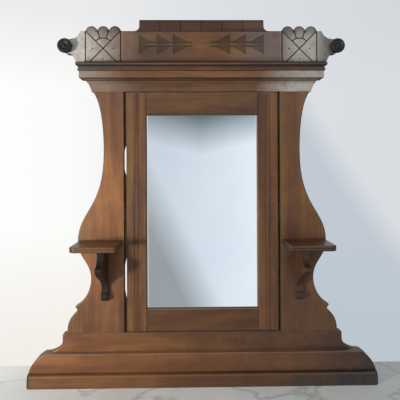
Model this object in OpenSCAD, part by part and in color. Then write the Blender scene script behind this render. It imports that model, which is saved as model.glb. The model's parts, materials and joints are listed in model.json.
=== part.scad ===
// Dresser mirror in walnut: a carved crest and cornice over two bandsawn side boards,
// a swinging mirror frame between them, two small shelves on scrolled brackets, and a
// moulded base. Millimetres, Z up, front towards -Y. The origin is on the underside of
// the base, at mid width and at mid thickness of the side boards.

/* [Boards] */
// Thickness of the side boards and rails
board_t = 22; // [18:1:28]
// Width of the opening that holds the mirror frame
opening_w = 474; // [400:1:560]
// Height of that opening
opening_h = 728; // [660:1:820]

/* [Side boards] */
// Width of a side board at its foot
foot_w = 172; // [165:1:190]
// Width under the cusp
notch_w = 142.5; // [138:0.5:146]
// Width at the tip of the cusp
cusp_w = 148; // [147:0.5:158]
// Width at the scallop between cusp and shelf
scallop_w = 100.4; // [90:0.2:112]
// Width at the bulge behind the shelf
bulge_w = 139.8; // [134:0.2:150]
// Width at the waist
waist_w = 60.6; // [55:0.1:66]
// Width at the top
top_w = 92; // [82:0.5:96]
// Tenon thickness
tenon_t = 8; // [6:0.5:10]
// Tenon length
tenon_l = 30; // [20:1:34]

/* [Lower rail and base] */
// Height of the lower rail, up to the opening
lower_rail_h = 151; // [140:1:170]
// How far the rail stands past the foot of each side board
rail_shoulder = 15; // [8:1:20]
// Radius of the rail's top corners
rail_corner_r = 8; // [4:1:12]
// How far the base spreads past the rail on each side
base_spread = 99.5; // [90:0.5:115]
// Radius of the base's rounded ends
base_end_r = 91; // [86:1:100]
// Straight height under that radius
base_straight = 15; // [10:1:20]
// Height at which that radius meets the rail's cove
base_turn_h = 94; // [84:1:94]
// Height of the cove
rail_cove_h = 33; // [20:1:36]
// Height of the base board
base_board_h = 95; // [85:1:100]
// Thickness of the base board
base_board_t = 20; // [16:1:24]
// Height of the plinth moulding at its back
plinth_h = 40; // [34:1:48]
// Height of its front face, under the sloped top
plinth_face_h = 32; // [24:1:33]
// Thickness of the plinth moulding
plinth_t = 17; // [12:1:22]

/* [Top rail and cornice] */
// Height of the top rail
top_rail_h = 58; // [55:1:66]
// How far the rail stands past the top of each side board
top_rail_step = 4; // [3:1:9]
// Height of the straight end under the rail's cove
top_rail_fillet = 2; // [1:1:8]
// Outward cove at each end of the top rail
top_rail_flare = 11; // [8:1:15]
// Size of the bed moulding under the fascia
bed_size = 10; // [7:1:12]
// Height of the fascia
fascia_h = 21; // [18:1:24]
// Depth of the fascia in front of the rail
fascia_d = 30; // [24:1:36]
// Thickness of the fascia's end pieces
fascia_end_t = 20; // [16:1:24]
// Thickness of the moulded cap board
cap_t = 23; // [20:1:28]
// Overhang of the cap past the fascia's ends
cap_overhang = 8; // [5:1:12]
// Overhang of the cap past the fascia's front
cap_front_overhang = 10; // [6:1:14]
// Height of the cap's top and bottom fillets
cap_fillet_h = 7.5; // [5:0.5:8]
// How far the cap's lower fillet is set back
cap_set_back = 5; // [3:0.5:7]

/* [Crest] */
// Thickness of the crest board
crest_t = 25; // [22:1:30]
// Height of the crest board
crest_h = 102; // [96:1:112]
// Overhang of an ear's foot past the cap
ear_foot = 6; // [3:1:9]
// Reach of an ear past its foot, to the middle of its round end
ear_reach = 20; // [16:1:24]
// Radius of an ear's round end
ear_end_r = 22.5; // [21:0.5:24]
// Width of a carved fan
fan_w = 105.6; // [96:0.6:114]
// Distance from the fan's outer line to the foot of the ear
fan_margin = 28; // [24:1:34]
// Radius of a fan lobe
lobe_r = 18.5; // [18.2:0.1:19.6]
// Radius of the incised arc in a fan
fan_arc_r = 31.5; // [26:0.5:36]
// Width of the incised lines
groove_w = 2; // [1.2:0.1:2.6]
// Depth of the incised lines
groove_d = 1.6; // [0.8:0.1:2.2]
// Width of a carved brick on the raised block
brick_w = 62.7; // [54:0.1:68]
// Number of carved bricks
brick_count = 6; // [4:1:6]
// Height of the raised block
block_h = 35; // [26:1:38]
// Radius of the cove at each end of the block
block_cove_r = 15; // [10:1:18]
// Bevel along the block's top edge
block_bevel = 6; // [3:0.5:9]
// Radius of a turned knob
knob_r = 21.8; // [19:0.2:24]
// Projection of a knob
knob_d = 27; // [24:1:32]

/* [Shelves and brackets] */
// Depth of a shelf
shelf_d = 125; // [110:1:140]
// Distance from the opening to a shelf
shelf_inset = 5; // [0:0.5:10]
// Width of a shelf
shelf_w = 132; // [124:1:140]
// Thickness of a shelf
shelf_t = 16; // [13:1:20]
// Radius of a shelf's outer front corner
shelf_corner_r = 18; // [8:1:24]
// Height of the shelf tops above the lower rail
shelf_rise = 279; // [270:1:290]
// Thickness of a bracket
bracket_t = 20; // [16:1:24]
// Distance from the opening to the middle of a bracket
bracket_x = 57; // [54:1:70]
// Height of a bracket
bracket_h = 167; // [150:1:170]
// Depth of a bracket under the shelf
bracket_top_d = 80; // [70:1:90]
// Depth of a bracket at its nose
bracket_nose_d = 113; // [100:1:116]

/* [Mirror frame] */
// Gap on each side of the mirror frame
side_gap = 8; // [6:0.5:9]
// Gap over and under the mirror frame
end_gap = 3.5; // [2.5:0.5:6]
// Width of a frame stile
stile_w = 60; // [56:1:70]
// Height of a frame rail
frame_rail_w = 66.5; // [60:0.5:74]
// Thickness of the frame
frame_t = 22; // [20:1:26]
// Thickness of the lip in front of the plate
lip_t = 10; // [8:0.5:11]
// Width of the rebate in the stiles that holds the plate
rebate_w = 10; // [8:0.5:12]
// Height of the rebate in the frame rails
rail_rebate_w = 12; // [9:0.5:14]
// Width of the reeded band on a stile
reed_band_w = 15; // [12:0.5:18]
// Number of reeds
reed_count = 3; // [2:1:4]
// Thickness of the mirror plate
plate_t = 4; // [3:0.5:5]
// Clearance round the mirror plate
plate_clear = 1; // [0.5:0.1:1.5]
// Thickness of the back panel
back_panel_t = 6; // [4:0.5:8]
// Lap of the back panel over the frame, past the rebate
back_panel_lap = 12; // [8:1:20]

/* [Pivots] */
// Radius of a pivot pin
pin_r = 4; // [3:0.1:4.6]
// Length of pin inside its socket
pin_reach = 12; // [9:1:12]
// Radial clearance of a pin in its socket
pin_clear = 0.05; // [0.02:0.01:0.1]
// Outside radius of a socket
socket_r = 7; // [6.5:0.1:8]
// Thickness of a pivot plate
pivot_plate_t = 2; // [1.5:0.1:2.2]
// Height of a pivot plate
pivot_plate_h = 52; // [46:1:60]
// Width of a pivot plate
pivot_plate_w = 18; // [16:1:18]

/* [Battens and screws] */
// Width of a back batten
batten_w = 40; // [34:1:44]
// Thickness of a back batten
batten_t = 20; // [16:1:26]
// How far a batten reaches past a side board, behind the gap
batten_reach = 3; // [0:0.5:5]
// Height of a batten behind the crest board
batten_rise = 66; // [50:1:80]
// Depth of the wane, where bark once was, on the left batten's inner edge
wane_d = 9; // [4:0.5:10]
// Radius of a large wood screw
screw_r = 2.4; // [2:0.1:2.8]
// Radius of a large screw's head
screw_head_r = 4.8; // [4:0.1:5.4]
// Radius of a small screw
small_screw_r = 1.6; // [1.3:0.1:1.9]
// Radius of a small screw's head
small_screw_head_r = 3.2; // [2.8:0.1:3.6]
// Radius of the two fixing holes under the base
fixing_hole_r = 2.5; // [2:0.1:3]
// Depth of the fixing holes
fixing_hole_depth = 40; // [30:1:50]
// Distance between the fixing holes
fixing_spacing = 600; // [500:10:700]

/* [Hidden] */

$fn = 48;

// Finishes
walnut = "#6b4630";
walnut_light = "#8a5f3d";
walnut_dark = "#4d3527";
ebonised = "#2c2828";
pine = "#b98f5c";
silvered = "#cfd8de";
iron = "#3a3733";

// Clearances
joint_clear = 0.15;
tip_clear = 1.5;
screw_clear = 0.1;
overlap = 1;

// Planes of the carcass
y_back = board_t / 2;
y_front = -y_back;
y_base_front = y_front - base_board_t;
y_crest_front = y_back - crest_t;
y_fascia = y_front - fascia_d;
y_cap = y_fascia - cap_front_overhang;

// Heights
z_top_rail = lower_rail_h + opening_h;
z_cap = z_top_rail + top_rail_h;
z_crest = z_cap + cap_t;
z_crest_top = z_crest + crest_h;
z_fascia = z_cap - fascia_h;
z_bed = z_fascia - bed_size;
z_pivot = lower_rail_h + opening_h / 2;
z_shelf = lower_rail_h + shelf_rise;
z_shelf_low = z_shelf - shelf_t;
z_batten_top = z_crest + batten_rise;

// How far out and down a knob stands from the middle of the ear's round end
knob_offset = 10;
knob_drop = 2;

// Half widths of the carcass
x_open = opening_w / 2;
x_foot = x_open + foot_w;
x_rail = x_foot + rail_shoulder;
x_base = x_rail + base_spread;
x_top = x_open + top_w;
x_top_rail = x_top + top_rail_step;
x_bed = x_top_rail + top_rail_flare;
x_fascia = x_bed + fascia_end_t;
x_cap = x_fascia + cap_overhang;
x_ear_foot = x_cap + ear_foot;
x_ear_end = x_ear_foot + ear_reach;
x_knob = x_ear_end + knob_offset;
x_block = brick_w * brick_count / 2;
x_shelf = x_open + shelf_inset;
x_batten = x_open - batten_reach;
x_bracket = x_open + bracket_x;

// Side board heights, from the bottom up
foot_rise = 9;
z_notch = lower_rail_h + 65;
notch_rise = 6;
z_cusp = z_notch + 15;
z_scallop = z_cusp + 83;
z_bulge = z_shelf - 4;
z_waist = z_bulge + 274;
cusp_fall = 3;

// Reach of the handles that draw the edge's curves, up or down from each point
scallop_pull = 50;
bulge_pull_down = 50;
bulge_pull_up = 94;
waist_pull_down = 177;
waist_pull_up = 100;
top_pull = [17, 21];

// Tenons of a side board: distance from the opening, then width
foot_tenon = [25, 100];
top_tenon = [14, 56];

// Crest heights and the fan's own centre
fan_half = fan_w / 2;
x_fan = x_ear_foot - fan_margin - fan_half;
z_fan = z_crest_top - fan_half;
lobe_pitch = fan_w / 3;
lobe_sink = 3;
z_ear_end = z_crest + 55.5;
ear_scoop_r = 35.2;
z_knob = z_ear_end - knob_drop;
ear_foot_pull = [2, 14];

// Turned knob: its peg, the foot's set-back, the bead, the dished face and the boss
knob_peg_r = 5;
knob_peg_l = 14;
knob_step = 3;
knob_bead_r = 3.5;
knob_rim = [7, 8];
knob_face_drop = 4;
knob_dish = 2.5;
knob_lip_w = 3;
knob_boss = [5, 5.5];

// Shelves and the scroll of a bracket, as depth from the board and drop below the shelf
shelf_nose = 5;
shelf_inner_r = 6;
lobe_end_r = 8;
lobe_end = [bracket_nose_d - lobe_end_r, 54];
throat_drop = 82;
neck = [16, 114];
toe_hollow = 8;
toe = [20, 144];

// Mouldings of the cornice
bed_lip = 2;
cove_rise = 4;
cap_cove_d = 3;

// Mirror frame
frame_w = opening_w - 2 * side_gap;
frame_h = opening_h - 2 * end_gap;
z_frame = lower_rail_h + end_gap;
x_frame = frame_w / 2;
x_sight = x_frame - stile_w;
sight_h = frame_h - 2 * frame_rail_w;
z_sight = z_frame + frame_rail_w;
y_frame_front = -frame_t / 2;
y_frame_back = frame_t / 2;
y_plate = y_frame_front + lip_t;
x_rebate = x_sight + rebate_w;
frame_tenon_t = 7;
frame_tenon_l = 34;
frame_tenon_h = 42;
frame_tenon_inset = 8;
frame_tenon_zs = [z_frame + frame_tenon_inset,
                  z_frame + frame_h - frame_tenon_inset - frame_tenon_h];
sight_bevel = 1.5;
reed_quirk = 1.5;

// Plate, its glued blocks, the back panel and its nails
x_plate = x_rebate - plate_clear;
z_plate = z_sight - rail_rebate_w + plate_clear;
plate_h = sight_h + 2 * (rail_rebate_w - plate_clear);
plate_block_l = 45;
plate_block_w = 7;
plate_block_rises = [0.12, 0.5, 0.88];
x_panel = x_rebate + back_panel_lap;
z_panel = z_sight - rail_rebate_w - back_panel_lap;
panel_h = sight_h + 2 * (rail_rebate_w + back_panel_lap);
nail_r = 0.8;
nail_l = 14;
nail_inset = back_panel_lap / 2;
nail_rises = [0.05, 0.35, 0.65, 0.95];

// Pivots and plates
y_pivot = 0;
x_socket_face = x_open - pivot_plate_t;
x_pin_face = x_frame + pivot_plate_t;
socket_depth = pin_reach + 2;
plate_screw_inset = 9;
plate_screw_z = pivot_plate_h / 2 - plate_screw_inset;
plate_screw_l = 16;

// Screws
head_h = 3;
small_head_h = 1.6;
slot_w = 0.9;
slot_d = 0.7;
screw_bite = 16;
shelf_screw_xs = [78, 114];
bracket_screw_drop = [40, 90];
base_screw_xs = [120, 400];
base_screw_z = 62;
batten_screw_zs = [
  0.8 * base_board_h, lower_rail_h + 60, z_pivot - 110, z_pivot + 110,
  z_top_rail - 40, z_top_rail + 0.8 * top_rail_h, z_crest + batten_rise / 2
];

// Points of an arc from angle a to angle b, ends included
function arc(cx, cy, r, a, b, n = 10) =
  [for (i = [0:n]) let (t = a + (b - a) * i / n) [cx + r * cos(t), cy + r * sin(t)]];

// Points of an elliptical arc
function oval(cx, cy, rx, ry, a, b, n = 10) =
  [for (i = [0:n]) let (t = a + (b - a) * i / n) [cx + rx * cos(t), cy + ry * sin(t)]];

// Points of a cubic curve through p and s, drawn by q and r, ends included
function curve(p, q, r, s, n = 12) =
  [for (i = [0:n]) let (t = i / n, u = 1 - t)
    u * u * u * p + 3 * u * u * t * q + 3 * u * t * t * r + t * t * t * s];

// Radius of the arc that starts upright and moves dx sideways over dz
function upright_r(dx, dz) = (dx * dx + dz * dz) / (2 * dx);

// Outline pairs mirrored about X = 0 into one closed outline
function both_sides(half) =
  concat(half, [for (i = [len(half) - 1:-1:0]) [-half[i][0], half[i][1]]]);

// A board of thickness t whose front is at y, cut to an outline in X and Z
module slab(y, t) {
  translate([0, y + t, 0]) rotate([90, 0, 0]) linear_extrude(t) children();
}

// An upright block given by its corners
module block(low, high) {
  translate(low) cube(high - low);
}

// Turns a piece made for the right side into the left one
module on_left() {
  mirror([1, 0, 0]) children();
}

// Runs a moulding profile, given as distance forward and height, along X
module run_x(x0, x1, y, z) {
  translate([x0, y, z]) rotate([90, 0, 90]) linear_extrude(x1 - x0) mirror([1, 0]) children();
}

// Runs the same profile along Y, facing +X, from y0 to y1
module run_y(y0, y1, x, z) {
  translate([x, y1, z]) rotate([90, 0, 0]) linear_extrude(y1 - y0) children();
}

// A countersunk wood screw: head at the origin, shank towards -Y
module screw(l, r, head_r, head_h) {
  rotate([90, 0, 0]) difference() {
    union() {
      cylinder(h = head_h, r1 = head_r, r2 = r);
      translate([0, 0, head_h]) cylinder(h = l - head_h - 3 * r, r = r);
      translate([0, 0, l - 3 * r]) cylinder(h = 3 * r, r1 = r, r2 = r / 5);
    }
    translate([-head_r - overlap, -slot_w / 2, -overlap])
      cube([2 * (head_r + overlap), slot_w, slot_d + overlap]);
  }
}

// The hole that such a screw sits in
module screw_hole(l, r, head_r, head_h) {
  grown = r + screw_clear;
  translate([0, overlap, 0]) rotate([90, 0, 0]) {
    cylinder(h = l + overlap + screw_clear, r = grown);
    cylinder(h = overlap + head_h, r1 = head_r + screw_clear + overlap * (head_r - r) / head_h,
             r2 = grown);
  }
}

// Places of the screws, each at its head
module at_batten_screws() {
  for (z = batten_screw_zs)
    translate([x_batten + batten_w / 2, y_back + batten_t, z]) children();
}

module at_base_screws() {
  for (x = base_screw_xs) translate([x, y_back, base_screw_z]) children();
}

module at_shelf_screws() {
  for (x = shelf_screw_xs) translate([x_open + x, y_back, z_shelf - shelf_t / 2]) children();
}

module at_bracket_screws() {
  for (drop = bracket_screw_drop) translate([x_bracket, y_back, z_shelf_low - drop]) children();
}

module big_screw(l) {
  screw(l, screw_r, screw_head_r, head_h);
}

module big_screw_hole(l) {
  screw_hole(l, screw_r, screw_head_r, head_h);
}

batten_screw_l = batten_t + screw_bite;
board_screw_l = board_t + screw_bite;

// Two stretches of wane on the left batten: height of the middle, and half the length
wanes = [[lower_rail_h + 156, 65], [z_top_rail - 207, 48]];

// Outer edge of a side board, from foot to top
function side_edge() = concat(
  [[x_foot, lower_rail_h]],
  let (r = upright_r(foot_w - notch_w, z_notch - lower_rail_h - foot_rise),
       rise = z_notch - lower_rail_h - foot_rise)
    arc(x_foot - r, lower_rail_h + foot_rise, r, 0, asin(rise / r)),
  [[x_open + notch_w, z_notch + notch_rise], [x_open + cusp_w, z_cusp - cusp_fall]],
  let (r = upright_r(cusp_w - scallop_w, z_scallop - z_cusp))
    arc(x_open + scallop_w + r, z_scallop, r, 180 + asin((z_scallop - z_cusp) / r), 180),
  curve([x_open + scallop_w, z_scallop], [x_open + scallop_w, z_scallop + scallop_pull],
        [x_open + bulge_w, z_bulge - bulge_pull_down], [x_open + bulge_w, z_bulge]),
  curve([x_open + bulge_w, z_bulge], [x_open + bulge_w, z_bulge + bulge_pull_up],
        [x_open + waist_w, z_waist - waist_pull_down], [x_open + waist_w, z_waist], 16),
  curve([x_open + waist_w, z_waist], [x_open + waist_w, z_waist + waist_pull_up],
        [x_top, z_top_rail] - top_pull, [x_top, z_top_rail])
);

// Tenons of a side board, grown by g for the mortises
module side_tenons(g = 0) {
  tip = g > 0 ? tip_clear : 0;
  block([x_open + foot_tenon[0] - g, -tenon_t / 2 - g, lower_rail_h - tenon_l - tip],
        [x_open + foot_tenon[0] + foot_tenon[1] + g, tenon_t / 2 + g, lower_rail_h + overlap]);
  block([x_open + top_tenon[0] - g, -tenon_t / 2 - g, z_top_rail - overlap],
        [x_open + top_tenon[0] + top_tenon[1] + g, tenon_t / 2 + g, z_top_rail + tenon_l + tip]);
}

module side_board() {
  difference() {
    union() {
      slab(y_front, board_t)
        polygon(concat([[x_open, z_top_rail], [x_open, lower_rail_h]], side_edge()));
      side_tenons();
    }
    at_batten_screws() big_screw_hole(batten_screw_l);
    at_shelf_screws() big_screw_hole(board_screw_l);
    at_bracket_screws() big_screw_hole(board_screw_l);
    translate([x_open - overlap, y_pivot, z_pivot]) rotate([0, 90, 0])
      cylinder(h = socket_depth + overlap + joint_clear, r = socket_r + joint_clear);
    at_socket_screws() small_hole_x(plate_screw_l);
  }
}

module left_side_board() {
  color(walnut_light) on_left() side_board();
}

module right_side_board() {
  color(walnut) side_board();
}

// Outline of the rail, which the base board shares: a rounded end, then a cove
module rail_outline() {
  turn = base_turn_h - base_straight;
  x_turn = x_base - base_end_r + sqrt(base_end_r * base_end_r - turn * turn);
  cove_w = x_turn - x_rail;
  polygon(both_sides(concat(
    [[0, 0], [x_base, 0]],
    arc(x_base - base_end_r, base_straight, base_end_r, 0, asin(turn / base_end_r)),
    oval(x_turn, base_turn_h + rail_cove_h, cove_w, rail_cove_h, 270, 180),
    arc(x_rail - rail_corner_r, lower_rail_h - rail_corner_r, rail_corner_r, 0, 90, 6),
    [[0, lower_rail_h]])));
}

// The same outline, cut off at a height
module base_outline(h) {
  intersection() {
    rail_outline();
    translate([-x_base, 0]) square([2 * x_base, h]);
  }
}

module lower_rail() {
  color(walnut) difference() {
    slab(y_front, board_t) rail_outline();
    for (side = [0, 1]) mirror([side, 0, 0]) {
      side_tenons(joint_clear);
      at_batten_screws() big_screw_hole(batten_screw_l);
      at_base_screws() big_screw_hole(board_screw_l);
      translate([fixing_spacing / 2, 0, -overlap])
        cylinder(h = fixing_hole_depth + overlap, r = fixing_hole_r);
    }
  }
}

module base_board() {
  color(walnut) difference() {
    slab(y_base_front, base_board_t) base_outline(base_board_h);
    for (side = [0, 1]) mirror([side, 0, 0])
      at_base_screws() big_screw_hole(board_screw_l);
  }
}

// The plinth's section runs along X and its ends follow the base's rounded ends
module plinth_moulding() {
  slope = plinth_h - plinth_face_h;
  color(walnut_dark) intersection() {
    run_x(-x_base, x_base, y_base_front, 0)
      polygon(concat([[0, 0], [plinth_t, 0]],
                     oval(0, plinth_face_h, plinth_t, slope, 0, 90, 6)));
    slab(y_base_front - plinth_t, plinth_t) base_outline(plinth_h);
  }
}

module top_rail() {
  z_cove = z_top_rail + top_rail_fillet;
  half = concat(
    [[0, z_top_rail], [x_top_rail, z_top_rail]],
    curve([x_top_rail, z_cove], [x_top_rail + 1.5, z_cove + 8],
          [x_bed - 3.5, z_bed - 9], [x_bed, z_bed + cove_rise], 8),
    [[x_bed, z_cap], [0, z_cap]]);
  color(walnut) difference() {
    slab(y_front, board_t) polygon(both_sides(half));
    for (side = [0, 1]) mirror([side, 0, 0]) {
      side_tenons(joint_clear);
      at_batten_screws() big_screw_hole(batten_screw_l);
    }
  }
}

// Section of the bed moulding: a cove with a narrow fillet over it
module bed_section() {
  polygon(concat([[0, 0]], arc(bed_size, 0, bed_size - bed_lip, 180, 90, 8),
                 [[bed_size, bed_size - bed_lip], [bed_size, bed_size], [0, bed_size]]));
}

// Mitre plane at a front corner of the cornice, as a wedge that keeps the front run
module mitre_wedge() {
  reach = 4 * bed_size;
  translate([0, 0, z_bed - overlap]) linear_extrude(bed_size + 2 * overlap)
    polygon([[x_bed - reach, y_front + reach], [x_bed + reach, y_front - reach],
             [-x_bed - reach, y_front - reach], [-x_bed + reach, y_front + reach]]);
}

module bed_mould_front() {
  color(walnut_dark) intersection() {
    run_x(-x_bed - bed_size, x_bed + bed_size, y_front, z_bed) bed_section();
    mitre_wedge();
  }
}

module bed_mould_return() {
  difference() {
    run_y(y_front - bed_size, y_back, x_bed, z_bed) bed_section();
    mitre_wedge();
  }
}

module left_bed_mould_return() {
  color(walnut_dark) on_left() bed_mould_return();
}

module right_bed_mould_return() {
  color(walnut_dark) bed_mould_return();
}

module fascia_front() {
  color(walnut_light) block([-x_fascia, y_fascia, z_fascia], [x_fascia, y_front, z_cap]);
}

module fascia_end() {
  block([x_bed, y_front, z_fascia], [x_fascia, y_back, z_cap]);
}

module left_fascia_end() {
  color(walnut_light) on_left() fascia_end();
}

module right_fascia_end() {
  color(walnut_light) fascia_end();
}

// What is cut from the cap's edge: below the top fillet, a cove and a set-back fillet
module cap_cut() {
  cove_h = cap_t - 2 * cap_fillet_h;
  polygon(concat(
    [[overlap, -overlap], [-cap_set_back, -overlap]],
    [[-cap_set_back, cap_fillet_h]],
    oval(overlap / 4, cap_fillet_h, cap_set_back + cap_cove_d, cove_h, 180, 90, 8),
    [[overlap, cap_t - cap_fillet_h]]));
}

module cornice_cap() {
  color(walnut) difference() {
    block([-x_cap, y_cap, z_cap], [x_cap, y_back, z_crest]);
    run_x(-x_cap - overlap, x_cap + overlap, y_cap, z_cap) cap_cut();
    for (side = [0, 1]) mirror([side, 0, 0])
      run_y(y_cap - overlap, y_back + overlap, x_cap, z_cap) cap_cut();
  }
}

// Tops of the three lobes of a fan, from the outside inwards
function lobes() =
  let (outer = asin(lobe_sink / lobe_r), valley = acos(lobe_pitch / 2 / lobe_r))
  [for (k = [1:-1:-1]) each
    arc(x_fan + k * lobe_pitch, z_crest_top - lobe_sink, lobe_r,
        k == 1 ? outer : valley, 180 - (k == -1 ? outer : valley), 8)];

function crest_half() =
  let (z_scoop = z_ear_end + ear_end_r + ear_scoop_r,
       scoop = asin((z_crest_top - z_scoop) / ear_scoop_r))
  concat(
    [[0, z_crest]],
    curve([x_ear_foot, z_crest], [x_ear_foot, z_crest] + ear_foot_pull,
          [x_ear_foot + ear_reach / 2, z_ear_end - ear_end_r - overlap],
          [x_ear_end, z_ear_end - ear_end_r], 8),
    arc(x_ear_end, z_ear_end, ear_end_r, -80, 90, 12),
    arc(x_ear_end, z_scoop, ear_scoop_r, 268, 180 - scoop, 8),
    lobes(), [[0, z_crest_top]]);

// An incised line on the crest's front, between two points in X and Z
module groove(p, q) {
  run = q - p;
  translate([p[0], y_crest_front, p[1]]) rotate([0, -atan2(run[1], run[0]), 0])
    translate([-groove_w / 2, -overlap, -groove_w / 2])
      cube([norm(run) + groove_w, groove_d + overlap, groove_w]);
}

module fan_lines() {
  c = [x_fan, z_fan];
  z_valley = z_crest_top - lobe_sink + sqrt(lobe_r * lobe_r - lobe_pitch * lobe_pitch / 4);
  for (s = [-1, 1]) {
    groove([x_fan + s * fan_half, z_crest], [x_fan + s * fan_half, z_crest_top - groove_w / 2]);
    groove([x_fan + s * (z_fan - z_crest), z_crest],
           [x_fan - s * (fan_half - groove_w), z_crest_top - groove_w]);
    valley = [x_fan + s * lobe_pitch / 2, z_valley];
    along = (valley - c) / norm(valley - c);
    groove(c + fan_arc_r * along, valley);
  }
  translate([x_fan, y_crest_front + groove_d, z_fan]) rotate([90, 0, 0])
    rotate([0, 0, 45]) rotate_extrude(angle = 90)
      translate([fan_arc_r - groove_w / 2, 0]) square([groove_w, groove_d + overlap]);
  for (at = [[-fan_arc_r, 0], [fan_arc_r, 0], [0, -fan_arc_r]])
    translate([x_fan + at[0], y_crest_front + groove_d, z_fan + at[1]]) rotate([90, 0, 0])
      cylinder(h = groove_d + overlap, r = groove_w);
}

module crest_board() {
  color(walnut_light) difference() {
    slab(y_crest_front, crest_t) polygon(both_sides(crest_half()));
    for (side = [0, 1]) mirror([side, 0, 0]) {
      fan_lines();
      at_batten_screws() big_screw_hole(batten_screw_l);
      translate([x_knob, y_crest_front - overlap, z_knob]) rotate([-90, 0, 0])
        cylinder(h = knob_peg_l + overlap + joint_clear, r = knob_peg_r + joint_clear);
    }
  }
}

module crest_block() {
  z_top = z_crest_top + block_h;
  half = concat(
    [[0, z_crest_top]],
    arc(x_block + block_cove_r, z_crest_top + block_cove_r, block_cove_r, 270, 180, 8),
    [[x_block, z_top], [0, z_top]]);
  color(walnut_dark) difference() {
    slab(y_crest_front, crest_t) polygon(both_sides(half));
    run_x(-x_block - overlap, x_block + overlap, y_crest_front, z_top)
      polygon([[overlap, -block_bevel - overlap], [-block_bevel - overlap, overlap],
               [overlap, overlap]]);
    for (i = [1:brick_count - 1])
      block([i * brick_w - x_block - groove_w / 2, y_crest_front - overlap, z_crest_top - overlap],
            [i * brick_w - x_block + groove_w / 2, y_crest_front + groove_d, z_top + overlap]);
    for (i = [1:brick_count - 1])
      block([i * brick_w - x_block - groove_w / 2, y_crest_front - overlap,
             z_top - block_bevel / 2 - groove_d],
            [i * brick_w - x_block + groove_w / 2, y_crest_front + block_bevel / 2 + groove_d,
             z_top + overlap]);
  }
}

// Turned knob: foot, bead, swelling rim and a dished face with a small boss
module knob() {
  x_rim = knob_r - knob_rim[0];
  face = knob_d - knob_face_drop;
  x_dish = knob_boss[0] + knob_lip_w;
  translate([x_knob, y_crest_front, z_knob]) rotate([90, 0, 0]) {
    rotate_extrude() polygon(concat(
      [[0, 0], [knob_r - knob_step, 0], [knob_r - knob_step + overlap, knob_step]],
      arc(knob_r - knob_step + overlap, knob_step + knob_bead_r, knob_bead_r, 270, 150, 5),
      oval(x_rim, face - knob_rim[1], knob_rim[0], knob_rim[1], -40, 90, 9),
      [[x_dish + knob_dish, face], [x_dish, face - knob_dish], [knob_boss[0], face - knob_dish]],
      oval(0, face - knob_dish, knob_boss[0], knob_boss[1], 0, 90, 6)));
    translate([0, 0, -knob_peg_l]) cylinder(h = knob_peg_l + overlap, r = knob_peg_r);
  }
}

module left_knob() {
  color(ebonised) on_left() knob();
}

module right_knob() {
  color(ebonised) knob();
}

module shelf() {
  x_end = x_shelf + shelf_w;
  y_end = y_front - shelf_d;
  outline = concat(
    [[x_shelf, y_front]],
    arc(x_shelf + shelf_inner_r, y_end + shelf_inner_r, shelf_inner_r, 180, 270, 5),
    arc(x_end - shelf_corner_r, y_end + shelf_corner_r, shelf_corner_r, 270, 360, 8),
    [[x_end, y_front]]);
  difference() {
    translate([0, 0, z_shelf_low]) linear_extrude(shelf_t) polygon(outline);
    run_x(x_shelf - overlap, x_end + overlap, y_end, z_shelf_low) polygon(concat(
      [[overlap, -overlap], [-shelf_nose, -overlap]],
      oval(-shelf_nose, shelf_t / 2, shelf_nose, shelf_t / 2, -90, 90, 8),
      [[-shelf_nose, shelf_t + overlap], [overlap, shelf_t + overlap]]));
    at_shelf_screws() big_screw_hole(board_screw_l);
  }
}

module left_shelf() {
  color(walnut_light) on_left() shelf();
}

module right_shelf() {
  color(walnut) shelf();
}

// Profile of a bracket: upper hollow, round nose, throat, neck, lower hollow and toe
function bracket_profile() = concat(
  [[0, 0], [bracket_top_d, 0]],
  curve([bracket_top_d, -lobe_end_r], [bracket_top_d - lobe_end_r, -neck[0]],
        [bracket_top_d, lobe_end_r + 2 - lobe_end[1]],
        [lobe_end[0] - 2, lobe_end_r - lobe_end[1]], 8),
  arc(lobe_end[0], -lobe_end[1], lobe_end_r, 90, -60, 6),
  curve([lobe_end[0] - lobe_end_r / 2, -lobe_end[1] - 1.5 * lobe_end_r],
        [bracket_top_d, -throat_drop], [neck[0] + 14, -throat_drop - 12], [neck[0], -neck[1]], 8),
  curve([neck[0], -neck[1] - 1], [toe_hollow, -neck[1] - 8], [toe_hollow, 8 - toe[1]], [toe[0], -toe[1]], 6),
  curve([toe[0] + 1, -toe[1] - 6], [toe[0] + 5, -toe[1] - 14],
        [toe_hollow, 4 - bracket_h], [0, -bracket_h], 6)
);

module bracket() {
  difference() {
    translate([x_bracket - bracket_t / 2, y_front, z_shelf_low])
      rotate([90, 0, 90]) linear_extrude(bracket_t) mirror([1, 0]) polygon(bracket_profile());
    at_bracket_screws() big_screw_hole(board_screw_l);
  }
}

module left_bracket() {
  color(walnut_dark) on_left() bracket();
}

module right_bracket() {
  color(walnut_dark) bracket();
}

module batten() {
  difference() {
    block([x_batten, y_back, 0], [x_batten + batten_w, y_back + batten_t, z_batten_top]);
    at_batten_screws() big_screw_hole(batten_screw_l);
  }
}

// Each wane is a shallow cylinder through the edge
module left_batten() {
  color(pine) on_left() difference() {
    batten();
    for (wane = wanes) let (r = (wane[1] * wane[1] + wane_d * wane_d) / (2 * wane_d))
      translate([x_batten + wane_d - r, y_back - overlap, wane[0]]) rotate([-90, 0, 0])
        cylinder(h = batten_t + 2 * overlap, r = r);
  }
}

module right_batten() {
  color(pine) batten();
}

module batten_screws() {
  color(iron) for (side = [0, 1]) mirror([side, 0, 0])
    at_batten_screws() big_screw(batten_screw_l);
}

module base_screws() {
  color(iron) for (side = [0, 1]) mirror([side, 0, 0])
    at_base_screws() big_screw(board_screw_l);
}

module shelf_screws() {
  color(iron) for (side = [0, 1]) mirror([side, 0, 0])
    at_shelf_screws() big_screw(board_screw_l);
}

module bracket_screws() {
  color(iron) for (side = [0, 1]) mirror([side, 0, 0])
    at_bracket_screws() big_screw(board_screw_l);
}

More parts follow.
